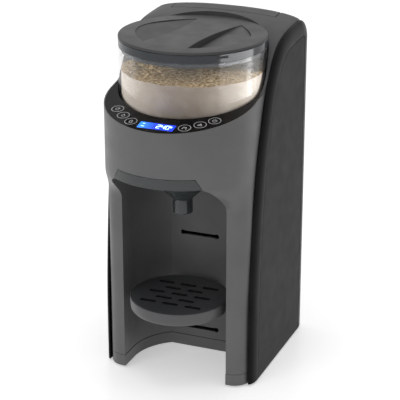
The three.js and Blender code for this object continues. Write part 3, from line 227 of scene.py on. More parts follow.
def noise(tree, scale, detail=3.0, stretch=None):
    coordinates = tree.nodes.new("ShaderNodeTexCoord")
    texture = tree.nodes.new("ShaderNodeTexNoise")
    texture.inputs["Scale"].default_value = scale
    texture.inputs["Detail"].default_value = detail
    source = coordinates.outputs["Object"]
    if stretch:
        mapping = tree.nodes.new("ShaderNodeMapping")
        mapping.inputs["Scale"].default_value = stretch
        tree.links.new(source, mapping.inputs["Vector"])
        source = mapping.outputs["Vector"]
    tree.links.new(source, texture.inputs["Vector"])
    return texture.outputs["Fac"]


def ramp(tree, factor, low, high, start=0.35, end=0.65):
    node = tree.nodes.new("ShaderNodeValToRGB")
    node.color_ramp.elements[0].position = start
    node.color_ramp.elements[1].position = end
    node.color_ramp.elements[0].color = (*low, 1)
    node.color_ramp.elements[1].color = (*high, 1)
    tree.links.new(factor, node.inputs["Fac"])
    return node.outputs["Color"]


def spread(tree, factor, low, high):
    """Spreads the middle of a noise, from 0.3 to 0.7, over the range from low to high."""
    node = tree.nodes.new("ShaderNodeMapRange")
    for socket, value in (("From Min", 0.3), ("From Max", 0.7), ("To Min", low), ("To Max", high)):
        node.inputs[socket].default_value = value
    tree.links.new(factor, node.inputs["Value"])
    return node.outputs["Result"]


def bump(tree, shader, factor, distance, strength=0.5):
    node = tree.nodes.new("ShaderNodeBump")
    node.inputs["Strength"].default_value = strength
    node.inputs["Distance"].default_value = distance
    tree.links.new(factor, node.inputs["Height"])
    tree.links.new(node.outputs["Normal"], shader.inputs["Normal"])


def cloudy(tree, scale, colour, vary):
    """A colour that drifts a little lighter and darker."""
    low, high = (tuple(min(1.0, c * factor) for c in colour) for factor in (1 - vary, 1 + vary))
    return ramp(tree, noise(tree, scale), low, high)


# %% [markdown]
# ## Plastics and rubber
#
# Satin, gloss and rubber are the same plastic to the eye but for a few numbers: colour, roughness, grain and
# shine. Each could have a node tree of its own, but one function keeps them alike, so that a colour can be set
# beside the photograph and changed in one line. The gloss blacks reflect little, because the studio is white and
# a full reflection would turn them grey.

# %% Plastics and rubber
def moulded(name, colour, rough, grain=2600.0, deep=0.00002, vary=0.06, strength=0.35, wander=0.05, shine=0.5):
    material, tree, shader = new_material(name)
    tree.links.new(cloudy(tree, 28.0, colour, vary), shader.inputs["Base Color"])
    tree.links.new(spread(tree, noise(tree, 60.0), rough - wander, rough + wander), shader.inputs["Roughness"])
    shader.inputs["Specular IOR Level"].default_value = shine
    bump(tree, shader, noise(tree, grain, 2.0), deep, strength)
    return material


grey_plastic = moulded("grey_plastic", (0.098, 0.098, 0.099), 0.42, shine=0.4)
lining_plastic = moulded("lining_plastic", (0.098, 0.098, 0.099), 0.45, shine=0.4)
lid_plastic = moulded("lid_plastic", (0.048, 0.048, 0.049), 0.48, shine=0.22)
hood_plastic = moulded("hood_plastic", (0.057, 0.057, 0.058), 0.48, shine=0.25)
side_plastic = moulded("side_plastic", (0.040, 0.041, 0.040), 0.45, grain=3000.0, shine=0.02)
tray_plastic = moulded("tray_plastic", (0.074, 0.075, 0.077), 0.38, shine=0.4)
black_plastic = moulded("black_plastic", (0.014, 0.014, 0.015), 0.5)
white_plastic = moulded("white_plastic", (0.72, 0.70, 0.66), 0.4)
gloss = {"grain": 900.0, "deep": 0.00001, "strength": 0.03, "vary": 0.2}
panel_black = moulded("panel_black", (0.006, 0.006, 0.0065), 0.12, wander=0.03, shine=0.07, **gloss)
trim_black = moulded("trim_black", (0.007, 0.007, 0.0075), 0.32, shine=0.06, **gloss)
rubber = moulded("rubber", (0.014, 0.014, 0.015), 0.85, grain=1400.0, deep=0.00006, strength=0.6)
print("plastics and rubber:", len(bpy.data.materials))

# %% [markdown]
# ## Putting a piece on the machine
#
# The lid, the tank or a button carries its small parts along when it moves. Pieces could be parented by hand,
# but here each one rides on the body of the solid it stands for, so that nothing can be left behind at a pose.

# %% Placing pieces
body_of_node = {node: body for body, nodes in frame["record"]["behaviour"]["bodies"].items() for node in nodes}
finished = set()


def volume(mesh):
    """Cubic millimetres inside a closed mesh."""
    shape = bmesh.new()
    shape.from_mesh(mesh)
    bmesh.ops.remove_doubles(shape, verts=shape.verts, dist=1e-6)
    result = shape.calc_volume() / MM ** 3
    shape.free()
    return result


def add_detail(piece, name, body, material):
    """Names a piece, gives it its material and its slot, and lets it ride on a body."""
    piece.name = name
    piece.data.name = name
    piece.data.materials.clear()
    piece.data.materials.append(material)
    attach(piece, body)
    return piece


def place(piece, name, node, material):
    """Lets a piece stand for a CAD node, and prints its volume beside that of the node's solid."""
    add_detail(piece, name, body_of_node[node], material)
    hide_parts(node)
    finished.add(node)
    made, solid = volume(piece.data), volume(frame["nodes"][node].data)
    print(f"{name}: {made:.0f} mm3, {made / solid:.0%} of {node}")
    return piece


# %% [markdown]
# ## The grey front casing
#
# The head is a round drum that stands well ahead of the two posts. Below the bay's crown the drum draws back to
# the posts in a smooth chin. It could be sculpted from a cylinder and a box, but then the chin would have to be
# blended by eye. Instead one outline changes from post to drum as it climbs.

# %% The casing's skin
base_low, base_top = 2, 14
body_low = base_top + gap
bay_top, lip_top = 221, 231.5
chin_low = bay_top - 35
post_front, post_corner, post_return = 50, 17, 10
deck_front, deck_slope = 276, 0.2


def smooth_step(value, low, high):
    t = min(1.0, max(0.0, (value - low) / (high - low)))
    return t * t * (3 - 2 * t)


def deck_level(y):
    return deck_front + deck_slope * (y + front_reach)


def deck_slab(below, above):
    near, far = -front_reach - overrun, rear_reach + overrun
    return side_prism([(near, deck_level(near) + below), (far, deck_level(far) + below),
                       (far, deck_level(far) + above), (near, deck_level(near) + above)], -width, width)


def post_line(x, inset):
    radius = post_corner - inset
    corner_y = -(post_front - post_corner)
    beyond = abs(x) - (head_radius - post_corner)
    if beyond <= 0:
        return corner_y - radius
    return corner_y - math.sqrt(max(0.0, radius * radius - beyond * beyond))


def casing_outline(inset, bulge, back, steps=96):
    """Plan of the casing. The bulge goes from 0, at the posts, to 1, at the drum."""
    half = head_radius - inset
    points = [(half, back), (-half, back)]
    for step in range(steps + 1):
        angle = -math.pi / 2 + math.pi * step / steps
        x = half * math.sin(angle)
        head_y = -head_setback - half * math.cos(angle)
        points.append((x, (1 - bulge) * post_line(x, inset) + bulge * head_y))
    return points


def casing_loft(inset, low, high, back, steps=96, chin_steps=14):
    levels = [low] + [chin_low + (bay_top - chin_low) * i / chin_steps for i in range(chin_steps + 1)] + [high]
    rings = []
    for z in levels:
        outline = casing_outline(inset, smooth_step(z, chin_low, bay_top), back, steps)
        rings.append([(x, y, z) for x, y in outline])
    return skin(rings, "capped")


print("deck:", deck_level(-front_reach), "mm up at its front and", round(deck_level(-13), 1), "at its back")

# %% [markdown]
# ## The bay's arch and the funnel's mouth
#
# The bay has straight cheeks and a flat crown with soft corners. The funnel slides into a mouth above it that
# narrows toward its top. Both could be drawn as curve objects, but short lists of points can be grown or shrunk
# by a number, for the lining and the funnel that follow them at a gap.

# %% Arch and mouth
bay_half, bay_crown, spring_drop = 55, 15, 36


def bezier(a, b, c, d, steps=14):
    points = []
    for i in range(1, steps + 1):
        t = i / steps
        s = 1 - t
        points.append(tuple(s * s * s * a[k] + 3 * s * s * t * b[k] + 3 * s * t * t * c[k] + t * t * t * d[k]
                            for k in range(2)))
    return points


def arch(grow, low):
    """Front view of the bay: straight cheeks and a flat crown with rounded corners."""
    half, top, spring = bay_half + grow, bay_top + grow, bay_top - spring_drop
    points = [(-half, low), (half, low), (half, spring)]
    points += bezier((half, spring), (half, top - bay_crown), (half - grow, top), (half - bay_crown, top))
    points += [(bay_crown - half, top)]
    points += bezier((bay_crown - half, top), (grow - half, top), (-half, top - bay_crown), (-half, spring))[:-1]
    return points + [(-half, spring)]


def mouth(grow):
    """Front view of the opening that the funnel slides into, narrower at its top."""
    low_half, high_half = 45 + grow, 39 + grow
    return [(-low_half, bay_top - grow), (low_half, bay_top - grow), (high_half, lip_top + grow),
            (-high_half, lip_top + grow)]


print("bay:", 2 * bay_half, "mm wide, its arch has", len(arch(0, body_low)), "points")

# %% [markdown]
# ## Cutting the casing
#
# The real casing is one thin moulding. A Solidify modifier could give the skin its wall, but would make it
# uneven in the chin. So the casing is the outer skin less the same skin moved inward. A surround lines the
# arch, the arch and the mouth are cut through, and the top is cut off along the deck, with a rebate for the
# control panel.

# %% Front casing
casing_back, panel_seat, panel_rim, hair = 52, 3.4, 1.6, 0.01


def front_casing():
    near, lined = -front_reach - overrun, -post_front + post_return
    shell = cut(casing_loft(0, body_low, height, casing_back),
                casing_loft(wall, body_low - overrun, height + overrun, casing_back + overrun, 90, 12))
    surround = keep(front_prism(arch(wall, body_low), near, lined),
                    casing_loft(hair, body_low, height, casing_back))
    join(shell, surround)
    cut(shell, front_prism(arch(0, body_low - overrun), near - overrun, lined + overrun))
    cut(shell, front_prism(mouth(gap), near - overrun, lined + overrun))
    cut(shell, deck_slab(0, height))
    rebate = prism(casing_outline(panel_rim - gap, 1, casing_back - panel_seat), 0, height)
    cut(shell, keep(rebate, deck_slab(-panel_seat, height)))
    return soften(shell, 0.7, angle=34, segments=3, flat_angle=0.1)


place(front_casing(), "casing_front", "front_casing", grey_plastic)

# %% [markdown]
# ## The side view
#
# One smooth curve gives the machine its side view: it rises steeply from behind the posts, leans back beside the
# hopper and runs out level over the tank. It could be a Bezier curve object, traced by eye. A few points, each a
# share of the depth and the height, with a spline through them, keep the curve's character at any size.

# %% Side view
side_curve = [(0.281, -0.1), (0.281, 0.19), (0.295, 0.358), (0.327, 0.557), (0.366, 0.673), (0.408, 0.753),
              (0.452, 0.828), (0.502, 0.878), (0.558, 0.921), (0.627, 0.951), (0.742, 0.968)]
side_end = 0.974
rear_round = shoulder_run + 6


def spline(points, steps):
    """Evenly parted Catmull-Rom curve through the points."""
    result = []
    for i in range(steps + 1):
        place_on = (len(points) - 1) * i / steps
        k = min(int(place_on), len(points) - 2)
        t = place_on - k
        p = [points[min(max(j, 0), len(points) - 1)] for j in (k - 1, k, k + 1, k + 2)]
        both = []
        for axis in range(2):
            p0, p1, p2, p3 = (q[axis] for q in p)
            v0, v1 = (p2 - p0) / 2, (p3 - p1) / 2
            cubic, square = 2 * p1 - 2 * p2 + v0 + v1, -3 * p1 + 3 * p2 - 2 * v0 - v1
            both.append(cubic * t ** 3 + square * t ** 2 + v0 * t + p1)
        result.append(tuple(both))
    return result


def roof_outline(shares, end_share, back, steps=80, round_steps=14):
    """Side view through the shares, then round the rear corner, open below."""
    end_y, end_z = back - rear_round, end_share * height
    marks = [(-front_reach + along * depth, up * height) for along, up in shares]
    points = spline(marks + [(end_y, end_z)], steps)
    for i in range(1, round_steps + 1):
        angle = math.pi / 2 - math.pi / 2 * i / round_steps
        points.append((end_y + rear_round * math.cos(angle), end_z - rear_round + rear_round * math.sin(angle)))
    return points


def side_outline():
    back = rear_reach - 2 * gap
    points = roof_outline(side_curve, side_end, back)
    return points + [(back, points[0][1])]


def inset_outline(points, inset):
    """An outline moved inward by the same amount all round, with mitred corners."""
    result = []
    count = len(points)
    for i, point in enumerate(points):
        before, after = Vector(points[i - 1]), Vector(points[(i + 1) % count])
        here = Vector(point)
        first, second = (here - before).normalized(), (after - here).normalized()
        mitre = (first + second).normalized()
        stretch = 1 / max(mitre.dot(first), math.sqrt(0.5))
        result.append((here.x + mitre.y * inset * stretch, here.y - mitre.x * inset * stretch))
    return result


print("side view:", len(side_outline()), "points")

# %% [markdown]
# ## Gloss shoulders and satin flanks
#
# A gloss shoulder follows the side view and turns from the front onto the machine's side, where a flat satin
# panel fills it. A slab with a Bevel modifier would give the turn one even width, but it would pinch where the
# curve is tight. So the shoulder is a row of outlines, each moved inward a little more than the last.

# %% Shoulders and flanks
shoulder_root, shoulder_step = head_radius + gap, 0.65


def stand_on_base(piece):
    """Cuts off what hangs below the base plate."""
    return cut(piece, block(-width, width, -width, width, -width, base_low))


def shoulder(side, steps=16):
    outline = side_outline()
    rings = [[(side * shoulder_root, y, z) for y, z in outline]]
    first = shoulder_root + shoulder_step
    for i in range(steps + 1):
        angle = math.pi / 2 * i / steps
        x = first + (width / 2 - first) * math.sin(angle)
        inset = inset_outline(outline, shoulder_run * (1 - math.cos(angle)))
        rings.append([(side * x, y, z) for y, z in inset])
    inner = side_prism(inset_outline(outline, shoulder_run), side * (shoulder_root - overrun),
                       side * (width / 2 + overrun))
    piece = stand_on_base(cut(skin(rings, "capped"), inner))
    return soften(piece, 0.35, angle=40, flat_angle=0.05)


def side_panel(side):
    outline = inset_outline(side_outline(), shoulder_run + gap)
    piece = stand_on_base(side_prism(outline, side * shoulder_root, side * width / 2))
    return soften(piece, 0.5, angle=40, segments=3, flat_angle=0.05)


for side, word in ((-1, "left"), (1, "right")):
    place(shoulder(side), f"shoulder_{word}", f"side_trim_{word}", trim_black)
    place(side_panel(side), f"flank_{word}", f"side_panel_{word}", side_plastic)

# %% [markdown]
# ## The roof between the shoulders
#
# The roof is highest along its middle and falls off a little to an edge curve at each side. A flat roof with a
# bevel would look cut from sheet. So its surface is a row of side views that blend from the middle's curve to
# the edge's, and everything under it is one solid, which the hood and the tank's lid are both cut from.

# %% Roof
hood_curve = [(0.405, 0.834), (0.456, 0.852), (0.493, 0.881), (0.525, 0.915), (0.562, 0.94), (0.627, 0.964),
              (0.742, 0.986)]
hood_edge_curve = [(0.405, 0.834), (0.456, 0.847), (0.493, 0.871), (0.525, 0.903), (0.562, 0.927), (0.627, 0.952),
                   (0.742, 0.969)]
hood_end, hood_crown = 1.0, 0.93 * head_radius


def roof_solid(inset, turns=12, steps=56, skirt=8):
    """Everything under the hood's surface, which falls off to its edge curve at each side."""
    back, low = rear_reach - wall, deck_front - skirt
    turn_angles = [math.pi / 2 * i / turns for i in range(turns, -1, -1)]
    places = [(-(head_radius - hood_crown + hood_crown * math.sin(a)), 1 - math.cos(a)) for a in turn_angles]
    places += [(-x, weight) for x, weight in reversed(places)]
    rings = []
    for x, weight in places:
        shares = [(along, up * (1 - weight) + edge * weight)
                  for (along, up), (_, edge) in zip(hood_curve, hood_edge_curve)]
        points = roof_outline(shares, hood_end - (hood_end - side_end) * weight, back, steps, 12)
        points = [(points[0][0], low)] + points + [(back, low)]
        rings.append([(x, y, z) for y, z in inset_outline(points, inset)])
    return skin(rings, "capped")


fall = (hood_curve[-1][1] - hood_edge_curve[-1][1]) * height
print("hood:", 2 * head_radius, "mm wide, falling", round(fall, 1), "mm to its edges")

# %% [markdown]
# ## Hood
#
# The grey hood fills the space between the two shoulders, and holds the round pocket of the hopper and the
# square one of the tank. Its wall could come from a Solidify modifier, but the pockets need collars of their own
# below it. So it is the roof solid, less the same one moved inward, with a collar joined for each pocket before
# the pockets are cut.

# %% Hood
hopper_radius, hopper_wall = 72, 2.4
pocket_radius = hopper_radius + 2 * gap
tank_half, tank_near = 56, rear_reach - 36


def circle(radius, x=0.0, y=0.0, sides=96):
    angles = [2 * math.pi * i / sides for i in range(sides)]
    return [(x + radius * math.cos(a), y + radius * math.sin(a)) for a in angles]


def rod(radius, low, high, x=0.0, y=0.0, sides=48):
    return prism(circle(radius, x, y, sides), low, high)


def duplicate(piece):
    copy = piece.copy()
    copy.data = piece.data.copy()
    bpy.context.scene.collection.objects.link(copy)
    return copy


def hood():
    top = height + overrun
    outer = cut(roof_solid(0), deck_slab(-height, gap))
    half, margin, rim_deep = head_radius - wall, wall * 2, 9.1
    core_inset, shaft_low = 0.6, 250
    inner = keep(roof_solid(wall), block(-half, half, -front_reach, rear_reach, 0, height))
    # A little inside the hood's surface, so that no two faces lie in one plane.
    core = cut(roof_solid(core_inset), deck_slab(-height, 2 * gap))
    collar = keep(rod(pocket_radius + wall, deck_front, height, sides=160), duplicate(core))
    tank_rim = keep(block(-tank_half - margin, tank_half + margin, tank_near - margin, rear_reach,
                          height - rim_deep, top), core)
    cut(outer, inner)
    join(outer, collar, tank_rim)
    cut(outer, rod(pocket_radius, deck_front - overrun, top, sides=160))
    cut(outer, block(-tank_half - gap, tank_half + gap, tank_near - gap, rear_reach + overrun, shaft_low, top))
    return soften(outer, 0.45, angle=36, flat_angle=0.05)


place(hood(), "hood_grey", "hood", hood_plastic)

# %% [markdown]
# ## Tank lid
#
# The water tank's flap carries on the hood's surface, and turns on a pin at the rear. It could be a flat cover,
# but then a step would show round it. So it is cut from the same roof solid as the hood, to the tank's plan, and
# a block joins it to its round hinge barrel.

# %% Tank lid
def tank_plan(grow, corner=18, behind=5.6, steps=12):
    """Plan of the tank: square in front, rounded behind."""
    half, near, far = tank_half - gap + grow, tank_near + gap - grow, rear_reach - behind + grow
    radius = corner + grow
    points = [(-half, near), (half, near)]
    for side, start in ((1, 0), (-1, math.pi / 2)):
        for i in range(steps + 1):
            angle = start + math.pi / 2 * i / steps
            points.append((side * (half - radius) + radius * math.cos(angle),
                           far - radius + radius * math.sin(angle)))
    return points


def lying_rod(radius, half, y, z, sides=24):
    return side_prism(circle(radius, y, z, sides), -half, half)


def tank_lid(low=340.4, thick=2.2, hinge_y=112.2, hinge_z=335.5, knuckle=2.4, pin=1.5, half=14, bridge=3.9):
    piece = keep(prism(tank_plan(0), low, height), roof_solid(0))
    cut(piece, keep(prism(tank_plan(-thick), low - overrun, height), roof_solid(thick)))
    join(piece, block(-half, half, hinge_y - bridge, hinge_y, low, low + knuckle),
         block(-half, half, hinge_y - knuckle, hinge_y, hinge_z, low + knuckle))
    join(piece, lying_rod(knuckle, half, hinge_y, hinge_z))
    cut(piece, lying_rod(pin, half + gap, hinge_y, hinge_z))
    return soften(piece, 0.3, angle=36, flat_angle=0.05)


place(tank_lid(), "tank_cover_grey", "tank_lid", hood_plastic)

# %% [markdown]
# ## Base plate
#
# The machine stands on a shallow plate in the casing's outline, with the bay's notch cut out of its front and
# with round pockets below for the feet and the screws. It could be copied from the frame, but its front edge
# shows, so it is made again with a finer outline.

# %% Base plate
bay_depth = 18
foot_pockets = ((63.8, -24, 6.9, 5), (55, 89, 6.9, 5))
screw_pockets = ((67, -39, 3.4, 5.4), (61, 69, 3.4, 5.4))


def bay_plan(grow, near, steps=40):
    """Plan of the bay: straight cheeks, round sides and a flat back."""
    radius, back = bay_half + grow, bay_depth + grow
    corner = math.asin((back + head_setback) / radius)
    points = [(radius, near)]
    for i in range(steps + 1):
        angle = corner * i / steps
        points.append((radius * math.cos(angle), -head_setback + radius * math.sin(angle)))
    return points + [(-x, y) for x, y in reversed(points)]


def base_plate():
    piece = prism(casing_outline(0, 0, rear_reach - wall - gap), base_low, base_top)
    cut(piece, prism(bay_plan(-gap, -post_front - overrun), base_low - overrun, base_top + overrun))
    for x, y, radius, top in foot_pockets + screw_pockets:
        cut(piece, *[rod(radius, base_low - overrun, top, side * x, y) for side in (1, -1)])
    return soften(piece, 0.6, angle=34, segments=3)


place(base_plate(), "base_grey", "base_plate", grey_plastic)

# %% [markdown]
# ## Bay lining
#
# The bay is lined with one smooth niche: straight cheeks, round sides, a flat back, and three slots, one above
# the other, that take the drip tray's hook. It could be a bent sheet with a Solidify modifier, but cutting one
# prism from another keeps its wall even and leaves clean edges for the slots.

# %% Bay lining
hook_levels, hook_half = (25, 79, 130), 18.4
slot_near, slot_far = 14, 26


def hook_slot(level, tall=1.9, end=2.6):
    """Cutters for one slot: a flat bar between two round ends."""
    slab = block(-hook_half, hook_half, slot_near, slot_far, level - tall, level + tall)
    ends = [front_prism(circle(end, x, level, 24), slot_near, slot_far) for x in (-hook_half, hook_half)]
    return [slab] + ends


def bay_lining():
    near = -post_front + post_return + gap
    piece = cut(prism(bay_plan(wall, near), body_low, bay_top + gap),
                prism(bay_plan(0, near - overrun), body_low - overrun, bay_top + overrun))
    cheek_in, cheek_out, cheek_back, cheek_top = 40, bay_half + wall - hair, -12, bay_top + 6.1
    join(piece, block(-cheek_out, -cheek_in, near + hair, cheek_back, bay_top - gap, cheek_top))
    join(piece, block(cheek_in, cheek_out, near + hair, cheek_back, bay_top - gap, cheek_top))
    for level in hook_levels:
        for cutter in hook_slot(level):
            cut(piece, cutter)
    return soften(piece, 0.4, angle=34)


place(bay_lining(), "bay_niche", "bay_lining", lining_plastic)

# %% [markdown]
# ## Clear and smoked plastics
#
# The hopper is clear, its lid's band and the funnel are smoked dark, and the tank is lightly smoked. Glass with
# real refraction would need many bounces of light and darken what stands behind it. A constant alpha lets light
# and shadow through instead, and a coat keeps the shine.

# %% Smoked plastics
def clear_material(name, colour, alpha, rough=0.04, coat=0.2, shine=0.5):
    """Clear or smoked plastic. The coat keeps its shine where the alpha is low."""
    material, tree, shader = new_material(name)
    tree.links.new(cloudy(tree, 22.0, colour, 0.06), shader.inputs["Base Color"])
    tree.links.new(spread(tree, noise(tree, 45.0), rough, rough * 1.8), shader.inputs["Roughness"])
    for socket, value in (("Alpha", alpha), ("IOR", 1.49), ("Specular IOR Level", shine), ("Coat Weight", coat),
                          ("Coat Roughness", 0.03)):
        shader.inputs[socket].default_value = value
    bump(tree, shader, noise(tree, 70.0, 1.0), 0.00004, 0.05)
    return material


rim_plastic = clear_material("rim_plastic", (0.026, 0.031, 0.036), 0.88, 0.12, coat=0.08, shine=0.35)
funnel_plastic = clear_material("funnel_plastic", (0.034, 0.039, 0.040), 0.84, 0.16)
tank_plastic = clear_material("tank_plastic", (0.10, 0.115, 0.12), 0.62, 0.10)
print("smoked plastics done, materials so far:", len(bpy.data.materials))

# %% [markdown]
# ## The hopper's clear wall
#
# A wall as clear as the hopper's loses almost all of its shine with its colour. More alpha would veil the powder.
# So a mirror is mixed in by a Fresnel share, which grows toward the drum's edges, and the share is kept low
# there, so that the powder still shows.

# %% Clear plastic
def calculate(tree, operation, first, second):
    """One step of arithmetic, on a socket and another socket or a number."""
    node = tree.nodes.new("ShaderNodeMath")
    node.operation = operation
    tree.links.new(first, node.inputs[0])
    if isinstance(second, float):
        node.inputs[1].default_value = second
    else:
        tree.links.new(second, node.inputs[1])
    return node.outputs["Value"]


def blend_shaders(tree, share, first, second, output):
    """Sends the first shader to the output where the share is 0, and the second where it is 1."""
    blend = tree.nodes.new("ShaderNodeMixShader")
    tree.links.new(share, blend.inputs["Fac"])
    tree.links.new(first, blend.inputs[1])
    tree.links.new(second, blend.inputs[2])
    tree.links.new(blend.outputs["Shader"], tree.nodes[output].inputs["Surface"])


def shine_through(material, index=1.15, rough=0.14, most=0.15):
    """Adds the mirror share of a clear wall, which a see-through base would lose."""
    tree = material.node_tree
    mirror = tree.nodes.new("ShaderNodeBsdfGlossy")
    mirror.inputs["Color"].default_value = (1, 1, 1, 1)
    mirror.inputs["Roughness"].default_value = rough
    share = tree.nodes.new("ShaderNodeFresnel")
    share.inputs["IOR"].default_value = index
    blend_shaders(tree, calculate(tree, "MINIMUM", share.outputs["Fac"], most),
                  tree.nodes["Principled BSDF"].outputs["BSDF"], mirror.outputs["BSDF"], "Material Output")
    return material


clear_plastic = shine_through(clear_material("clear_plastic", (0.85, 0.86, 0.87), 0.03))
print("clear plastic:", len(clear_plastic.node_tree.nodes), "nodes")

# %% [markdown]
# ## Hopper
#
# The hopper is a thin drum with a rounded foot, and its floor has one hole for the powder and one for the
# spindle. A cylinder with a Solidify modifier would do for the wall, but a turned profile also rounds the rim
# and the foot, inside and out, and needs no bevel.

# %% Hopper
hopper_low, hopper_top = 260.4, 334.4
outlet_radius, outlet_y, spindle_radius = 11, -45, 7.2


def turned(profile, x=0.0, y=0.0, sides=128):
    """A profile of radius and level pairs turned about an upright axis. It starts and ends on the axis or
    closes on itself."""
    closed = profile[0] == profile[-1]
    rings = []
    for radius, level in profile[:-1] if closed else profile:
        ring = [(px, py, level) for px, py in circle(radius, x, y, sides)]
        rings.append(ring if radius else ring[:1])
    return skin(rings, "joined" if closed else "open")


def hopper():
    radius, inner, floor_top = hopper_radius, hopper_radius - hopper_wall, hopper_low + 3
    piece = turned([(0, hopper_low), (radius - 3, hopper_low), (radius - 0.9, hopper_low + 0.9),
                    (radius, floor_top), (radius, hopper_top - 0.5), (radius - 0.5, hopper_top),
                    (inner + 0.5, hopper_top), (inner, hopper_top - 0.5), (inner, floor_top + 2),
                    (inner - 2, floor_top), (0, floor_top)], sides=160)
    cut(piece, rod(outlet_radius, hopper_low - overrun, hopper_low + overrun, 0, outlet_y))
    cut(piece, rod(spindle_radius, hopper_low - overrun, hopper_low + overrun))
    return soften(piece, 0, angle=30)


place(hopper(), "hopper_clear", "hopper", clear_plastic)

# %% [markdown]
# ## How the powder looks
#
# The powder packs to a smooth, pale wall where it lies against the drum, and is loose and lumpy on top, where its
# colour has painted shade, dark and golden, in the hollows between the lumps, and is lighter on their crowns.
# Two materials would meet in a hard line. So one material tells the top from the side by whether the surface
# looks up, and fades from one look to the other.

# %% Powder's look
packed_low, packed_high = (0.345, 0.275, 0.215), (0.405, 0.335, 0.27)
# The loose top's colours: a dark, golden painted shade for the hollows between the lumps, and a paler one for
# their crowns.
hollow_shade_colour, crown_colour = (0.30, 0.145, 0.030), (0.74, 0.56, 0.32)
speck_low, speck_high = (0.72, 0.66, 0.58), (1.0, 1.0, 1.0)


def facing_up(tree, low, high):
    """Goes from low on an upright wall to high on a surface that looks up."""
    facing = tree.nodes.new("ShaderNodeSeparateXYZ")
    tree.links.new(tree.nodes.new("ShaderNodeTexCoord").outputs["Normal"], facing.inputs["Vector"])
    return spread(tree, facing.outputs["Z"], low, high)


def mix_colours(tree, first, second, factor=None, blend="MIX"):
    """Mixes two colours by a factor, or in full where none is given."""
    node = tree.nodes.new("ShaderNodeMix")
    node.data_type = "RGBA"
    node.blend_type = blend
    if factor is None:
        node.inputs["Factor"].default_value = 1.0
    else:
        tree.links.new(factor, node.inputs["Factor"])
    tree.links.new(first, node.inputs["A"])
    tree.links.new(second, node.inputs["B"])
    return node.outputs["Result"]


def powder_material():
    """Milk powder: smooth where it is packed against the wall, lumpy on top, with painted shade, dark and golden,
    in the hollows between the lumps.
    """
    material, tree, shader = new_material("powder")
    packed = ramp(tree, noise(tree, 90.0, 2.0), packed_low, packed_high)
    lumps = noise(tree, 330.0, 3.0)
    # Painted shade: the lumps' own noise, which also raises them in the bump below, darkens their hollows and
    # lightens their crowns.
    loose = ramp(tree, lumps, hollow_shade_colour, crown_colour, 0.40, 0.66)
    upward = facing_up(tree, 0.0, 1.0)
    looks = mix_colours(tree, packed, loose, upward)
    specks = ramp(tree, noise(tree, 1500.0, 4.0), speck_low, speck_high, 0.3, 0.6)
    speckled = mix_colours(tree, looks, specks, spread(tree, upward, 0.05, 0.7), "MULTIPLY")
    tree.links.new(speckled, shader.inputs["Base Color"])
    shader.inputs["Roughness"].default_value = 0.95
    shader.inputs["Specular IOR Level"].default_value = 0.15
    bump(tree, shader, calculate(tree, "MULTIPLY", lumps, upward), 0.004, 0.9)
    return material


powder_look = powder_material()
print("powder's look:", len(powder_look.node_tree.nodes), "nodes")

# %% [markdown]
# ## Milk powder
#
# The heap fills the drum from wall to wall, and dips and rises on top. Thousands of grains could be scattered,
# but they would be slow and too small to see. A disc of rings, raised by a few broad swells, many small bumps
# and a little unevenness at every point, has the same broken surface.

# %% Powder
powder_low, core_radius, core_top = 270.2, 61.2, 289.2


def powder(rings=64, sides=220, top=312.0):
    """A full disc of powder with a lumpy top, a smooth side, and a hollow below for the seat's core."""
    chance = random.Random(7)
    bumps = [(chance.uniform(-70, 70), chance.uniform(-70, 70), chance.uniform(2.2, 7.5),
              chance.uniform(-0.7, 1.25)) for _ in range(420)]
    broad = [(chance.uniform(-60, 60), chance.uniform(-60, 60), chance.uniform(18, 34),
              chance.uniform(-1.6, 1.6)) for _ in range(9)]

    def level(x, y):
        z = top - 1.2 + 0.012 * (x * 0.6 - y)
        for cx, cy, size, rise in broad:
            z += rise * math.exp(-((x - cx) ** 2 + (y - cy) ** 2) / (size * size))
        for cx, cy, size, rise in bumps:
            far = (x - cx) ** 2 + (y - cy) ** 2
            if far < 6 * size * size:
                z += 0.8 * rise * math.exp(-far / (size * size))
        return z + chance.uniform(-0.22, 0.22)

    outer = hopper_radius - hopper_wall - 0.5
    layers = [[(0, 0, level(0, 0))]]
    for ring in range(1, rings + 1):
        layers.append([(x, y, level(x, y)) for x, y in circle(outer * ring / rings, 0, 0, sides)])
    for radius, z in ((outer, powder_low), (core_radius, powder_low), (core_radius, core_top)):
        layers.append([(x, y, z) for x, y in circle(radius, 0, 0, sides)])
    piece = skin(layers + [[(0, 0, core_top)]])
    shade_smooth(piece, 50)
    return piece


place(powder(), "powder_heap", "powder_fill", powder_look)

# %% [markdown]
# ## Lid's band
#
# The lid is a smoked band that plugs into the drum, with a short raised catch that marks where it locks. It could
# be a plain cylinder with a Solidify modifier. A turned profile also gives it the spigot and the ledge that the
# lid's plate sits on.

# %% Lid's band and catch
lid_top = 345.4
band_turn, band_wall, spigot_deep, ledge = 7.2, 2.4, 4.8, 2.8


def lid_rim():
    low, high = hopper_top + gap, lid_top - ledge
    spigot, inner = hopper_radius - hopper_wall - gap, hopper_radius - hopper_wall - gap - band_wall
    profile = [(inner, low - spigot_deep), (spigot, low - spigot_deep), (spigot, low), (hopper_radius, low),
               (hopper_radius, high), (hopper_radius - band_turn, high),
               (hopper_radius - band_turn, high - band_wall), (inner, high - band_wall)]
    return soften(turned(profile + profile[:1], sides=160), 0.4, angle=34)


def rim_catch(start=40.0, end=49.0, low=338.8, high=340.8, proud=0.5, steps=10):
    """The short raised catch on the band, which marks where the lid locks."""
    angles = [math.radians(start + (end - start) * i / steps) for i in range(steps + 1)]
    outer, inner = ([(radius * math.sin(a), -radius * math.cos(a)) for a in angles]
                    for radius in (hopper_radius + proud, hopper_radius))
    return soften(prism(outer + inner[::-1], low, high), 0.15)


place(lid_rim(), "lid_band", "lid_rim", rim_plastic)
add_detail(rim_catch(), "rim_catch", "lid", black_plastic)

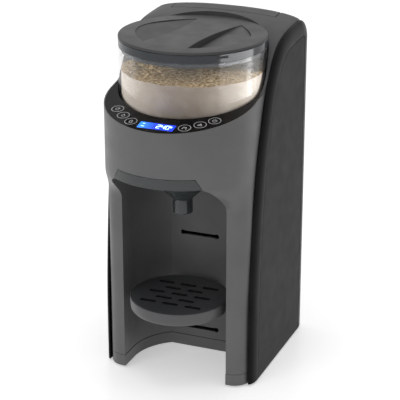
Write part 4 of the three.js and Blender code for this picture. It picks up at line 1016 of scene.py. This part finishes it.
# %% [markdown]
# ## Finger hollows of the lid
#
# The lid's plate has a hollow for the fingers on either side of a waisted grip. Each hollow has an upright wall
# at the grip and a floor that ramps up to the rim. It could be sculpted, but a lens of two curves with a sloping
# floor gives both sides the same clean edges.

# %% Finger hollows
grip_waist, grip_end, hollow_reach = 19, 24, 58
hollow_deep, skin_thick = 6.6, 2.8


def curve(start, middle, finish, steps):
    """Points on a smooth curve from start to finish, drawn toward the middle point."""
    return [tuple((1 - t) ** 2 * start[k] + 2 * t * (1 - t) * middle[k] + t * t * finish[k] for k in range(2))
            for t in (i / steps for i in range(steps))]


def hollow_outline(side, grow, tip_share=0.96, steps=26):
    """A lens beside the grip: its inner edge follows the waisted bar, its outer edge the lid's rim."""
    tip_y = math.sqrt(hollow_reach ** 2 - grip_end ** 2) * tip_share + grow
    near, far = (side * (grip_end - grow), -tip_y), (side * (grip_end - grow), tip_y)
    inner_middle = (side * (2 * grip_waist - grip_end - grow), 0)
    outer_middle = (side * (2 * hollow_reach - grip_end + grow), 0)
    return curve(near, inner_middle, far, steps) + curve(far, outer_middle, near, steps)


def hollow_floor(x, y, rise=6.0, grip=26, run=30, back=-2, back_run=46):
    """Deepest beside the grip, and ramping up toward the rim and toward the back."""
    slope = max(0.0, (abs(x) - grip) / run, (y - back) / back_run)
    return lid_top - hollow_deep + rise * min(1.0, slope)


def hollow_cutter(side):
    floor_ring = [(x, y, hollow_floor(x, y)) for x, y in hollow_outline(side, -1.2)]
    return skin([floor_ring, [(x, y, lid_top + overrun) for x, y in hollow_outline(side, 0)]], "capped")


print("hollows:", hollow_deep, "mm deep beside the grip,", len(hollow_outline(1, 0)), "points round")

# %% [markdown]
# ## Lid's plate
#
# The plate is a thin grey disc with a rounded rim. The two hollows are deeper than it is thick, so a block of
# plastic is joined below each one before it is cut, where a Solidify modifier would have to follow the ramp. The
# plate is turned a little, as it is after it has been twisted shut.

# %% Lid's plate
lid_turn, plate_thick = -9, 2.4


def hopper_lid(round_edge=1.0, round_steps=5):
    low = lid_top - plate_thick
    profile = [(0, low), (hopper_radius, low), (hopper_radius, lid_top - round_edge)]
    for i in range(1, round_steps + 1):
        angle = math.pi / 2 * i / round_steps
        profile.append((hopper_radius - round_edge + round_edge * math.cos(angle),
                        lid_top - round_edge + round_edge * math.sin(angle)))
    piece = turned(profile + [(0, lid_top)], sides=160)
    for side in (-1, 1):
        join(piece, prism(hollow_outline(side, 1.2), lid_top - hollow_deep - skin_thick, lid_top - 0.5))
    cut(piece, hollow_cutter(-1), hollow_cutter(1))
    axis = Matrix.Translation((0, shift_y * MM, 0))
    piece.data.transform(axis @ Matrix.Rotation(math.radians(lid_turn), 4, "Z") @ axis.inverted())
    return soften(piece, 0.7, angle=30, segments=3, flat_angle=0.1)


place(hopper_lid(), "lid_top", "hopper_lid", lid_plastic)

# %% [markdown]
# ## Places on the sloping deck
#
# The panel, the display and the six buttons lie on a deck that slopes down to the front. Each could be made flat
# and then rotated, but every rotation would have to be kept in step. One function puts a point on the deck
# instead, and lifts it square to the slope. The buttons' places are worked out along the rim.

# %% Places on the deck
tilt = math.atan(deck_slope)
display_y, display_wide, display_long = 13 - front_reach, 36, 11.5
button_radius = 6.3
button_inset, button_lead, button_clear, button_pitch = 11.4, 1.6, 2.7, 14.6


def button_place(index):
    """A button's place on the right-hand side, counted outward from the display."""
    out = head_radius - button_inset
    first = math.asin((display_wide / 2 + button_clear + button_radius) / (out + button_lead))
    angle = first + index * button_pitch / out
    reach = out + (button_lead if index == 0 else 0)
    return reach * math.sin(angle), -head_setback - reach * math.cos(angle)


def on_deck(u, v, x, y, lift=0.0):
    """A point u across and v up the deck from x, y, lifted square to it."""
    return (x + u, y + v * math.cos(tilt) - lift * math.sin(tilt),
            deck_level(y) + v * math.sin(tilt) + lift * math.cos(tilt))


def deck_plate(outline, x, y, low, high):
    return skin([[on_deck(u, v, x, y, lift) for u, v in outline] for lift in (low, high)], "capped")


def rectangle(wide, long):
    u, v = wide / 2, long / 2
    return [(-u, -v), (u, -v), (u, v), (-u, v)]


button_places = [button_place(index) for index in range(3)]
print("buttons at", [(round(x, 1), round(y, 1)) for x, y in button_places])

# %% [markdown]
# ## Control panel
#
# The gloss panel is a crescent between the head's rim and the hopper's pocket. It could be drawn as a flat shape
# and laid on the slope, but the casing's own outline, raised and then trimmed between two sloping planes,
# follows the rim exactly. Holes for the buttons and a window for the display are cut square to the deck.

# %% Control panel
panel_back, panel_thick, window_deep, window_ledge = -13, 3, 1.6, 1


def control_panel(blank_low=200, bore_low=190, through=-8, above=4):
    piece = keep(prism(casing_outline(panel_rim, 1, panel_back), blank_low, height), deck_slab(-panel_thick, 0))
    cut(piece, rod(pocket_radius, bore_low, height + overrun, sides=160))
    for x, y in button_places:
        for side in (-1, 1):
            cut(piece, deck_plate(circle(button_radius + gap / 2, sides=48), side * x, y, through, above))
    for inset, low in ((0, -window_deep), (2 * window_ledge, through)):
        opening = rectangle(display_wide - inset, display_long - inset)
        cut(piece, deck_plate(opening, 0, display_y, low, above))
    return soften(piece, 0.3, angle=34, flat_angle=0.1)


place(control_panel(), "panel_gloss", "control_panel", panel_black)

# %% [markdown]
# ## Glowing screen
#
# A blue screen lies in the panel's window and glows by itself, a little brighter toward its left end. A lamp
# behind it would have to shine through the plastic. An emission colour in its material is simpler, and looks
# evenly lit from every side.

# %% Glowing screen
def glow_material(name, colour, strength, brighter_end=None):
    """A lit screen: even but for a slight cloud, or brighter toward its left end."""
    material, tree, shader = new_material(name)
    if brighter_end:
        along = tree.nodes.new("ShaderNodeSeparateXYZ")
        tree.links.new(tree.nodes.new("ShaderNodeTexCoord").outputs["Generated"], along.inputs["Vector"])
        lit = ramp(tree, along.outputs["X"], brighter_end, colour, 0.0, 0.45)
    else:
        lit = cloudy(tree, 35.0, colour, 0.1)
    tree.links.new(lit, shader.inputs["Base Color"])
    tree.links.new(lit, shader.inputs["Emission Color"])
    shader.inputs["Emission Strength"].default_value = strength
    shader.inputs["Roughness"].default_value = 0.15
    return material


screen_glow = glow_material("screen_glow", (0.008, 0.040, 0.72), 1.1, (0.020, 0.22, 1.0))
digit_glow = glow_material("digit_glow", (0.55, 0.85, 1.0), 2.2)
window = deck_plate(rectangle(display_wide - gap, display_long - gap), 0, display_y, gap - window_deep, 0)
place(soften(window, 0.15, angle=34, segments=1), "display_screen", "display_window", screen_glow)

# %% [markdown]
# ## Figures on the screen
#
# The screen shows three figures made of lit bars, and a few short marks. A picture of figures could be laid on
# it, but bars with a thickness of their own stay sharp at any distance. Each figure is a choice from seven
# strokes, as on the real display.

# %% Figures on the screen
figure_wide, figure_tall, figure_pitch, figure_stroke = 3.0, 5.8, 4.6, 0.62
figure_bars = {2: ("top", "upper_right", "middle", "lower_left", "bottom"),
               4: ("upper_left", "upper_right", "middle", "lower_right"),
               0: ("top", "bottom", "upper_left", "upper_right", "lower_left", "lower_right")}
small_marks = [[(13.6, 2.0), (15.2, 2.0)], [(13.6, 0.4), (15.2, 0.4)], [(-14.5, -2.4), (-11.5, -2.4)],
               [(-14.5, 2.4), (-12.5, 2.4)]]


def bar(points, x, y, wide, lift, thick):
    """A thin printed or lit bar along points on the deck."""
    corners, faces = [], []
    for (u0, v0), (u1, v1) in zip(points, points[1:]):
        along = Vector((u1 - u0, v1 - v0)).normalized() * (wide / 2)
        side = Vector((-along.y, along.x))
        a, b = Vector((u0, v0)) - along * 0.6, Vector((u1, v1)) + along * 0.6
        base = len(corners)
        for level in (lift, lift + thick):
            corners += [on_deck(u, v, x, y, level) for u, v in (a + side, a - side, b - side, b + side)]
        faces += [(base + 3, base + 2, base + 1, base), (base + 4, base + 5, base + 6, base + 7)]
        faces += [(base + i, base + (i + 1) % 4, base + 4 + (i + 1) % 4, base + 4 + i) for i in range(4)]
    return corners, faces


def joined_bars(strokes, x, y, wide, lift=0.03, thick=0.12):
    points, faces = [], []
    for stroke in strokes:
        more, quads = bar(stroke, x, y, wide, lift, thick)
        faces += [tuple(len(points) + i for i in quad) for quad in quads]
        points += more
    return mesh_object(points, faces)


def figure_points(digit, u, v, wide, tall):
    """The lit bars of one figure."""
    half = tall / 2
    strokes = {"top": ((0, tall), (wide, tall)), "middle": ((0, half), (wide, half)),
               "bottom": ((0, 0), (wide, 0)),
               "upper_left": ((0, half), (0, tall)), "upper_right": ((wide, half), (wide, tall)),
               "lower_left": ((0, 0), (0, half)), "lower_right": ((wide, 0), (wide, half))}
    return [[(u + a, v + b) for a, b in strokes[name]] for name in figure_bars[digit]]


strokes = []
for order, digit in enumerate((2, 4, 0)):
    strokes += figure_points(digit, 0.5 + order * figure_pitch, -figure_tall / 2, figure_wide, figure_tall)
add_detail(joined_bars(strokes + small_marks, 0, display_y, figure_stroke), "display_figures", "chassis",
           digit_glow)
print("display:", len(strokes), "lit bars and", len(small_marks), "small marks")

# %% [markdown]
# ## Buttons
#
# Each button is a round gloss cap with a shallow dish and a printed ring. The ring could be painted in the
# material, but one of its own keeps its width in a close view. The caps are turned profiles, set square to the
# deck, so that they press straight into it.

# %% Button caps and rings
print_white = moulded("print_white", (0.62, 0.63, 0.64), 0.4, deep=0.00001)
cap_profile = [(0, -2.1), (button_radius, -2.1), (button_radius, 0.05), (button_radius - 0.1, 0.22),
               (button_radius - 0.3, 0.34), (button_radius - 0.7, 0.38), (button_radius - 2.2, 0.26), (0, 0.16)]
ring_outer, ring_inner, ring_lift, ring_thick = button_radius - 0.28, button_radius - 0.72, 0.335, 0.075


def deck_ring(radius, lift, x, y, sides=56):
    """A ring of points about a place on the deck, or the one point at its middle."""
    ring = [on_deck(u, v, x, y, lift) for u, v in circle(radius, sides=sides)]
    return ring if radius else ring[:1]


def dome_button(x, y):
    return soften(skin([deck_ring(radius, lift, x, y) for radius, lift in cap_profile]), 0, angle=30)


def printed_ring(x, y):
    top = ring_lift + ring_thick
    profile = ((ring_outer, ring_lift), (ring_outer, top), (ring_inner, top), (ring_inner, ring_lift))
    return skin([deck_ring(radius, lift, x, y) for radius, lift in profile], "joined")


print("button cap:", 2 * button_radius, "mm across, its ring", 2 * ring_outer, "mm")

# %% [markdown]
# ## Marks on the buttons
#
# Inside its ring each button has a simple line mark. Text or an imported drawing would bring curves to clean up,
# but thin bars along a few points are enough at this size. Marks and rings ride on their button, so they go down
# with it.

# %% Marks on the buttons
def arc(radius, start, end, steps=14, u=0.0, v=0.0):
    angles = [math.radians(start + (end - start) * i / steps) for i in range(steps + 1)]
    return [(u + radius * math.cos(a), v + radius * math.sin(a)) for a in angles]


flask = [[(-1.2, -2.2), (-1.2, 0.8), (-0.6, 1.5), (-0.6, 2.3), (0.6, 2.3), (0.6, 1.5), (1.2, 0.8), (1.2, -2.2),
          (-1.2, -2.2)]]
spoon_rest = [[(-2.4, -1.6), (-1.6, -1.6), (-1.6, 1.6), (1.6, 1.6), (1.6, -1.6), (2.4, -1.6)],
              [(-0.6, 0.4), (0.6, 0.4)]]
drop = [[(0, 2.3)] + arc(1.5, 20, -200, 12, 0, -0.5) + [(0, 2.3)]]
triangle = [[(-2.2, -1.4), (0, 2.1), (2.2, -1.4), (-2.2, -1.4)], [(0, 0.9), (0, -0.4)]]
again = [arc(2.0, 40, 320), [(1.0, 2.3), (1.9, 1.2), (0.4, 1.1)]]
power = [arc(2.1, 120, 420), [(0, 0.4), (0, 2.4)]]
marks = (flask, spoon_rest, drop, triangle, again, power)
mark_stroke, mark_lift = 0.48, 0.2

ordered_places = [(side * x, y) for x, y in button_places for side in (-1, 1)]
for index, ((x, y), mark) in enumerate(zip(ordered_places, marks), 1):
    place(dome_button(x, y), f"button_cap_{index}", f"button_{index}", panel_black)
    add_detail(printed_ring(x, y), f"button_ring_{index}", f"key_{index}", print_white)
    add_detail(joined_bars(mark, x, y, mark_stroke, mark_lift), f"button_mark_{index}", f"key_{index}",
               print_white)
print("rings and marks on", len(marks), "buttons")

# %% [markdown]
# ## Mixing funnel
#
# The smoked funnel slides out of the mouth like a drawer. Its front lip closes the drum's face, and its flange,
# bowl, cone and spout hang from it. The lip could be a separate plate, but on the real part they are one
# moulding, so the lip is cut from the casing's own skin, the flange is a slab in the same outline, and both are
# joined to a turned bowl before the inside is cut out.

# %% Funnel
bowl_outer, bowl_deep, cone_deep, spout_long = 38, 14, 27, 15
spout_outer, funnel_wall, flange_half, flange_back = 10, 2, 43.5, 7
flange_rise, flange_drop = 6.5, 1.6


def funnel():
    front = -front_reach - overrun
    lip = keep(prism(casing_outline(0, 1, 0), bay_top - overrun, lip_top + overrun),
               front_prism(mouth(0), front, -head_setback))
    cut(lip, prism(casing_outline(wall, 1, overrun), bay_top - 2 * overrun, lip_top + 2 * overrun))
    low, high = bay_top + flange_rise, lip_top - flange_drop
    flange = keep(prism(casing_outline(wall / 2, 1, flange_back), low, high),
                  block(-flange_half, flange_half, -front_reach, flange_back, low - overrun, high + overrun))
    keep(flange, front_prism(mouth(-gap), -front_reach, flange_back + 1))
    bowl_low = low - bowl_deep
    cone_low = bowl_low - cone_deep
    spout_low = cone_low - spout_long
    outer = turned([(0, spout_low), (spout_outer - 0.8, spout_low), (spout_outer, spout_low + 0.8),
                    (spout_outer, cone_low - 1.5), (spout_outer + 0.8, cone_low + 0.8),
                    (bowl_outer - 1.2, bowl_low - 1), (bowl_outer, bowl_low + 1.4), (bowl_outer, high),
                    (0, high)], 0, -head_setback, 96)
    bore, bowl_inner = spout_outer - funnel_wall, bowl_outer - funnel_wall
    inner = turned([(0, spout_low - overrun), (bore, spout_low - overrun), (bore, cone_low + 1),
                    (bowl_inner, bowl_low + 1), (bowl_inner, high + overrun), (0, high + overrun)],
                   0, -head_setback, 96)
    cut(join(lip, flange, outer), inner)
    return soften(lip, 0.4, angle=34, flat_angle=0.1)


place(funnel(), "funnel_smoked", "funnel", funnel_plastic)

# %% [markdown]
# ## Drip tray
#
# The tray is a round dish with a rounded foot and a step for its grate, and hooks into one of the lining's slots.
# A Screw modifier on a drawn profile would do, but the turned profile already has its points worked out from the
# tray's size. The hook is a small block, trimmed to the dish before it is joined.

# %% Drip tray
tray_radius, tray_top, tray_low = 49.5, 86, 73
tray_y = bay_depth - tray_radius - 4.5
tongue_half, tongue_low, tongue_high = 18, 77.5, 80.5


def drip_tray():
    low, top, radius = tray_low, tray_top, tray_radius
    piece = turned([(0, low), (radius - 3.4, low), (radius - 1.4, low + 0.7), (radius - 0.4, low + 2.2),
                    (radius, low + 5), (radius, top - 0.7), (radius - 0.3, top), (radius - 1.0, top),
                    (radius - 1.1, top - 3), (radius - 2.2, top - 3), (radius - 2.2, low + 3.2),
                    (radius - 3.4, low + 2.2), (0, low + 2.2)], 0, tray_y)
    tongue = block(-tongue_half, tongue_half, tray_y + radius - 2, bay_depth + wall / 2, tongue_low, tongue_high)
    join(piece, cut(tongue, rod(radius - 1.5, low - overrun, top + overrun, 0, tray_y, 128)))
    return soften(piece, 0.25, angle=34, flat_angle=0.1)


place(drip_tray(), "tray_grey", "drip_tray", tray_plastic)

# %% [markdown]
# ## Grate
#
# The grate is a thin dark disc with rows of rounded slots, each row moved half a step from the next. The slots
# could be painted on, but real holes show the tray through them. The disc is thin, so light would reach into
# the slots and grey them: the material paints shade on the upright walls, and the slots read as deep.

# %% Grate
slot_half, slot_round, row_pitch, column_pitch = 8.5, 2.5, 12, 24


def painted_slot_shade(material, least=0.25):
    """Paints shade on the upright walls of a thin piece, so that its narrow slots read as deep."""
    tree = material.node_tree
    base = tree.nodes["Principled BSDF"].inputs["Base Color"]
    colour = base.links[0].from_socket
    # Painted shade: the colour is multiplied down on faces that don't look up, as if the slots' walls lay in
    # shadow.
    tree.links.new(mix_colours(tree, colour, facing_up(tree, least, 1.0), blend="MULTIPLY"), base)
    return material


def round_slot(x, y, low, high, turns=8):
    points = []
    for side in (1, -1):
        for i in range(turns + 1):
            angle = -math.pi / 2 + math.pi * i / turns
            points.append((x + side * (slot_half - slot_round) + side * slot_round * math.cos(angle),
                           y + side * slot_round * math.sin(angle)))
    return prism(points, low, high)


def drip_grate(rim=7):
    radius, low = tray_radius - 1.5, tray_top - 2.6
    piece = turned([(0, low), (radius, low), (radius, tray_top - 0.6), (radius - 0.5, tray_top - 0.2),
                    (0, tray_top - 0.2)], 0, tray_y)
    for row in range(-2, 3):
        shift = column_pitch / 2 if row % 2 else 0
        for column in range(-2, 3):
            x, y = column * column_pitch + shift, row * row_pitch
            if math.hypot(abs(x) + slot_half, y) <= radius - rim:
                cut(piece, round_slot(x, tray_y + y, low - overrun, tray_top + overrun))
    return soften(piece, 0.35, angle=34, flat_angle=0.1)


# The grate's plastic, with painted shade on the walls of its slots.
grate_plastic = painted_slot_shade(moulded("grate_plastic", (0.046, 0.048, 0.050), 0.40, shine=0.25))
place(drip_grate(), "grate_dark", "drip_grate", grate_plastic)

# %% [markdown]
# ## Steel
#
# The spring, the spindle, the motor and the screws are steel. They could be a plain metal with one roughness, but
# drawn and rolled steel has fine lines. So one stretched noise sets its colour, its roughness and its bump.

# %% Steel
def steel_material():
    material, tree, shader = new_material("steel")
    streak = noise(tree, 90.0, 4.0, (1.0, 1.0, 14.0))
    tree.links.new(ramp(tree, streak, (0.40, 0.40, 0.41), (0.56, 0.56, 0.57)), shader.inputs["Base Color"])
    tree.links.new(spread(tree, streak, 0.24, 0.38), shader.inputs["Roughness"])
    shader.inputs["Metallic"].default_value = 1.0
    bump(tree, shader, streak, 0.00003, 0.3)
    return material


steel = steel_material()
print("steel:", len(steel.node_tree.nodes), "nodes")

# %% [markdown]
# ## The spring of the tank's valve
# A steel wire is wound round the valve's stem, between its head and the top of the cage. A curve with a bevel
# would leave its ends open, so a ring of points climbs as it turns. The spring's foot moves with the valve, which
# lifts by three millimetres, but here the whole coil rides on the one body of the spring's solid.

# %% Valve spring
def valve_spring(turns=6, wire=0.7, reach=4.6, low=60.0, high=70.0, y=94.4, sides=10, steps=28):
    rings = []
    for i in range(turns * steps + 1):
        share = i / (turns * steps)
        angle = 2 * math.pi * turns * share
        level = low + wire + (high - low - 2 * wire) * share
        rings.append([((reach + out) * math.cos(angle), y + (reach + out) * math.sin(angle), level + up)
                      for out, up in circle(wire, sides=sides)])
    return skin(rings, "capped")


spring = place(valve_spring(), "valve_spring_coil", "valve_spring", steel)
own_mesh(spring)

# %% [markdown]
# ## Everything else
#
# The parts that show less, from the water tank to the screws, have plain shapes that the CAD source already
# gives. They could be made again as well, but a copy of each solid with rounded edges and its own material looks
# the same from outside and can't be out of place.

# %% Rounded copies
board_green = moulded("board_green", (0.015, 0.10, 0.035), 0.35, grain=500.0, deep=0.0001)
pieces_of_look = (
    (black_plastic, "rear_cover", "tank_bay", "hopper_seat", "display_module", "pump", "power_inlet"),
    (tank_plastic, "water_tank", "valve_cage"),
    (white_plastic, "dosing_wheel", "stirrer", "drive_gear", "motor_pinion", "tank_valve", "water_nozzle",
     "suction_pipe", "pressure_pipe", "delivery_pipe"),
    (steel, "drive_spindle", "dosing_motor", "motor_bracket", "heater"),
    (board_green, "button_board", "control_board", "power_board"),
    (steel, *(f"base_screw_{i}" for i in range(1, 5))),
    (rubber, *(f"rubber_foot_{i}" for i in range(1, 5))),
)
edge_radius = {"water_tank": 0.7, "rear_cover": 0.5, "tank_bay": 0.5, "suction_pipe": 0, "pressure_pipe": 0,
               "delivery_pipe": 0, "tank_valve": 0.15, "valve_cage": 0.15, "drive_gear": 0.12,
               "motor_pinion": 0.12, **{f"base_screw_{i}": 0.1 for i in range(1, 5)}}


def copy_of(node, radius):
    """A rounded copy of a CAD solid, for the pieces whose plain shape is already right."""
    mesh = frame["nodes"][node].data.copy()
    piece = bpy.data.objects.new(node, mesh)
    bpy.context.scene.collection.objects.link(piece)
    return soften(piece, radius, flat_angle=0.6)


for look, *nodes in pieces_of_look:
    for node in nodes:
        place(copy_of(node, edge_radius.get(node, 0.3)), f"{node}_look", node, look)
print("left as they are:", sorted(set(frame["nodes"]) - finished))

# %% [markdown]
# ## Floor
#
# The machine stands on a white studio floor. A curved sweep would do, but a wide pale floor meets the white
# background without one. A white floor without light of its own would look grey at this plain level, so it glows
# a little. It keeps the machine's shadow.

# %% Floor
def floor(reach=6000, glow=0.40):
    corners = [(-reach, -reach, 0), (reach, -reach, 0), (reach, reach, 0), (-reach, reach, 0)]
    piece = mesh_object(corners, [(0, 1, 2, 3)], "floor")
    material, tree, shader = new_material("floor_pale")
    tree.links.new(ramp(tree, noise(tree, 0.8), (0.86, 0.86, 0.86), (0.9, 0.9, 0.9)), shader.inputs["Base Color"])
    for socket, value in (("Roughness", 0.3), ("Specular IOR Level", 0.2), ("Emission Color", (1, 1, 1, 1)),
                          ("Emission Strength", glow)):
        shader.inputs[socket].default_value = value
    piece.data.materials.append(material)
    return piece


print("floor:", [round(side) for side in floor().dimensions], "m")

# %% [markdown]
# ## Background
#
# All around is white. A strong white world would flood the machine with light and wash out its greys. So the
# world is white only where the camera, a mirror or clear plastic looks at it, and lights the machine more weakly.

# %% Background
def white_studio(light=0.55, white=1.0):
    """A world that lights the object at one strength and is seen at another."""
    world = bpy.data.worlds.new("studio")
    bpy.context.scene.world = world
    world.use_nodes = True
    tree = world.node_tree
    lighting, backdrop = tree.nodes["Background"], tree.nodes.new("ShaderNodeBackground")
    for node, strength in ((lighting, light), (backdrop, white)):
        node.inputs["Color"].default_value = (1, 1, 1, 1)
        node.inputs["Strength"].default_value = strength
    rays = tree.nodes.new("ShaderNodeLightPath").outputs
    seen = calculate(tree, "MAXIMUM", rays["Is Camera Ray"], rays["Is Glossy Ray"])
    seen = calculate(tree, "MAXIMUM", seen, rays["Is Transmission Ray"])
    blend_shaders(tree, seen, lighting.outputs["Background"], backdrop.outputs["Background"], "World Output")
    return world


print("world:", white_studio().name)

# %% [markdown]
# ## Lights
#
# Two wide soft lamps, one above and one before the machine, shape the grey plastic at a plain level. The powder
# behind its clear wall would stay dull in them, so it has two cooler lamps of its own, one at each side. Bright
# panels that everything mirrors would grey the gloss parts, so the one lamp that gives the drum its streak is
# linked to the drum and the lid's band alone, and only their gloss sees it.

# %% Lights
def soft_light(name, place_at, aim, size, power, colour=(1, 1, 1)):
    light = bpy.data.lights.new(name, "AREA")
    light.shape = "RECTANGLE"
    light.size, light.size_y = size
    light.energy = power
    light.color = colour
    lamp = bpy.data.objects.new(name, light)
    bpy.context.scene.collection.objects.link(lamp)
    lamp.location = Vector(place_at)
    lamp.rotation_euler = (Vector(aim) - Vector(place_at)).to_track_quat("-Z", "Y").to_euler()
    lamp.visible_camera = False
    lamp.visible_transmission = False
    return lamp


machine_middle = (0, 0, 0.2)
drum_middle = (0, shift_y * MM, 0.3)
cool = (0.80, 0.90, 1.0)
main_lights = [soft_light("key", (-0.75, -1.8, 1.2), machine_middle, (1.1, 1.1), 9),
               soft_light("top", (0.1, 0.1, 2.0), machine_middle, (1.4, 1.4), 10)]
powder_lights = [soft_light("powder_left", (-1.03, -0.16, 0.55), drum_middle, (0.45, 0.6), 23, cool),
                 soft_light("powder_right", (0.93, 0.43, 0.55), drum_middle, (0.45, 0.6), 33, cool)]
streak = soft_light("streak_right", (0.60, 0.02, 0.15), drum_middle, (0.7, 0.5), 7)
streak.visible_diffuse = False


def link_lights(lamps, name, pieces, state):
    """Lets these lamps light only the named pieces, or all but them."""
    group = bpy.data.collections.new(name)
    for piece in pieces:
        group.objects.link(bpy.data.objects[piece])
    for entry in group.collection_objects:
        entry.light_linking.link_state = state
    for lamp in lamps:
        lamp.light_linking.receiver_collection = group


link_lights(main_lights, "all_but_powder", ["powder_heap"], "EXCLUDE")
link_lights(powder_lights, "powder_alone", ["powder_heap"], "INCLUDE")
link_lights([streak], "clear_drum", ["hopper_clear", "lid_band"], "INCLUDE")
print("lamps:", len(bpy.data.lights))

# %% [markdown]
# ## Camera
#
# The photograph is taken from a little to the right and above, from so far that the machine's sides run almost
# parallel. The camera could be placed by eye, but an angle round the machine, an angle above it and a distance
# are three numbers that can each be fitted by itself, and a long lens brings it near.

# %% Camera
azimuth, elevation, distance = math.radians(22.0), math.radians(21.1), 1.4982
target = Vector((0.0074, shift_y * MM, 0.175))
toward_camera = Vector((math.sin(azimuth) * math.cos(elevation), -math.cos(azimuth) * math.cos(elevation),
                        math.sin(elevation)))
camera_data = bpy.data.cameras.new("camera")
camera_data.sensor_width = 36
camera_data.lens = 135.3
camera_data.clip_end = 20
camera = bpy.data.objects.new("camera", camera_data)
bpy.context.scene.collection.objects.link(camera)
camera.location = target + toward_camera * distance
camera.rotation_euler = toward_camera.to_track_quat("Z", "Y").to_euler()
bpy.context.scene.camera = camera
bpy.context.scene.view_settings.view_transform = "Standard"
print("camera at", [round(v, 3) for v in camera.location])
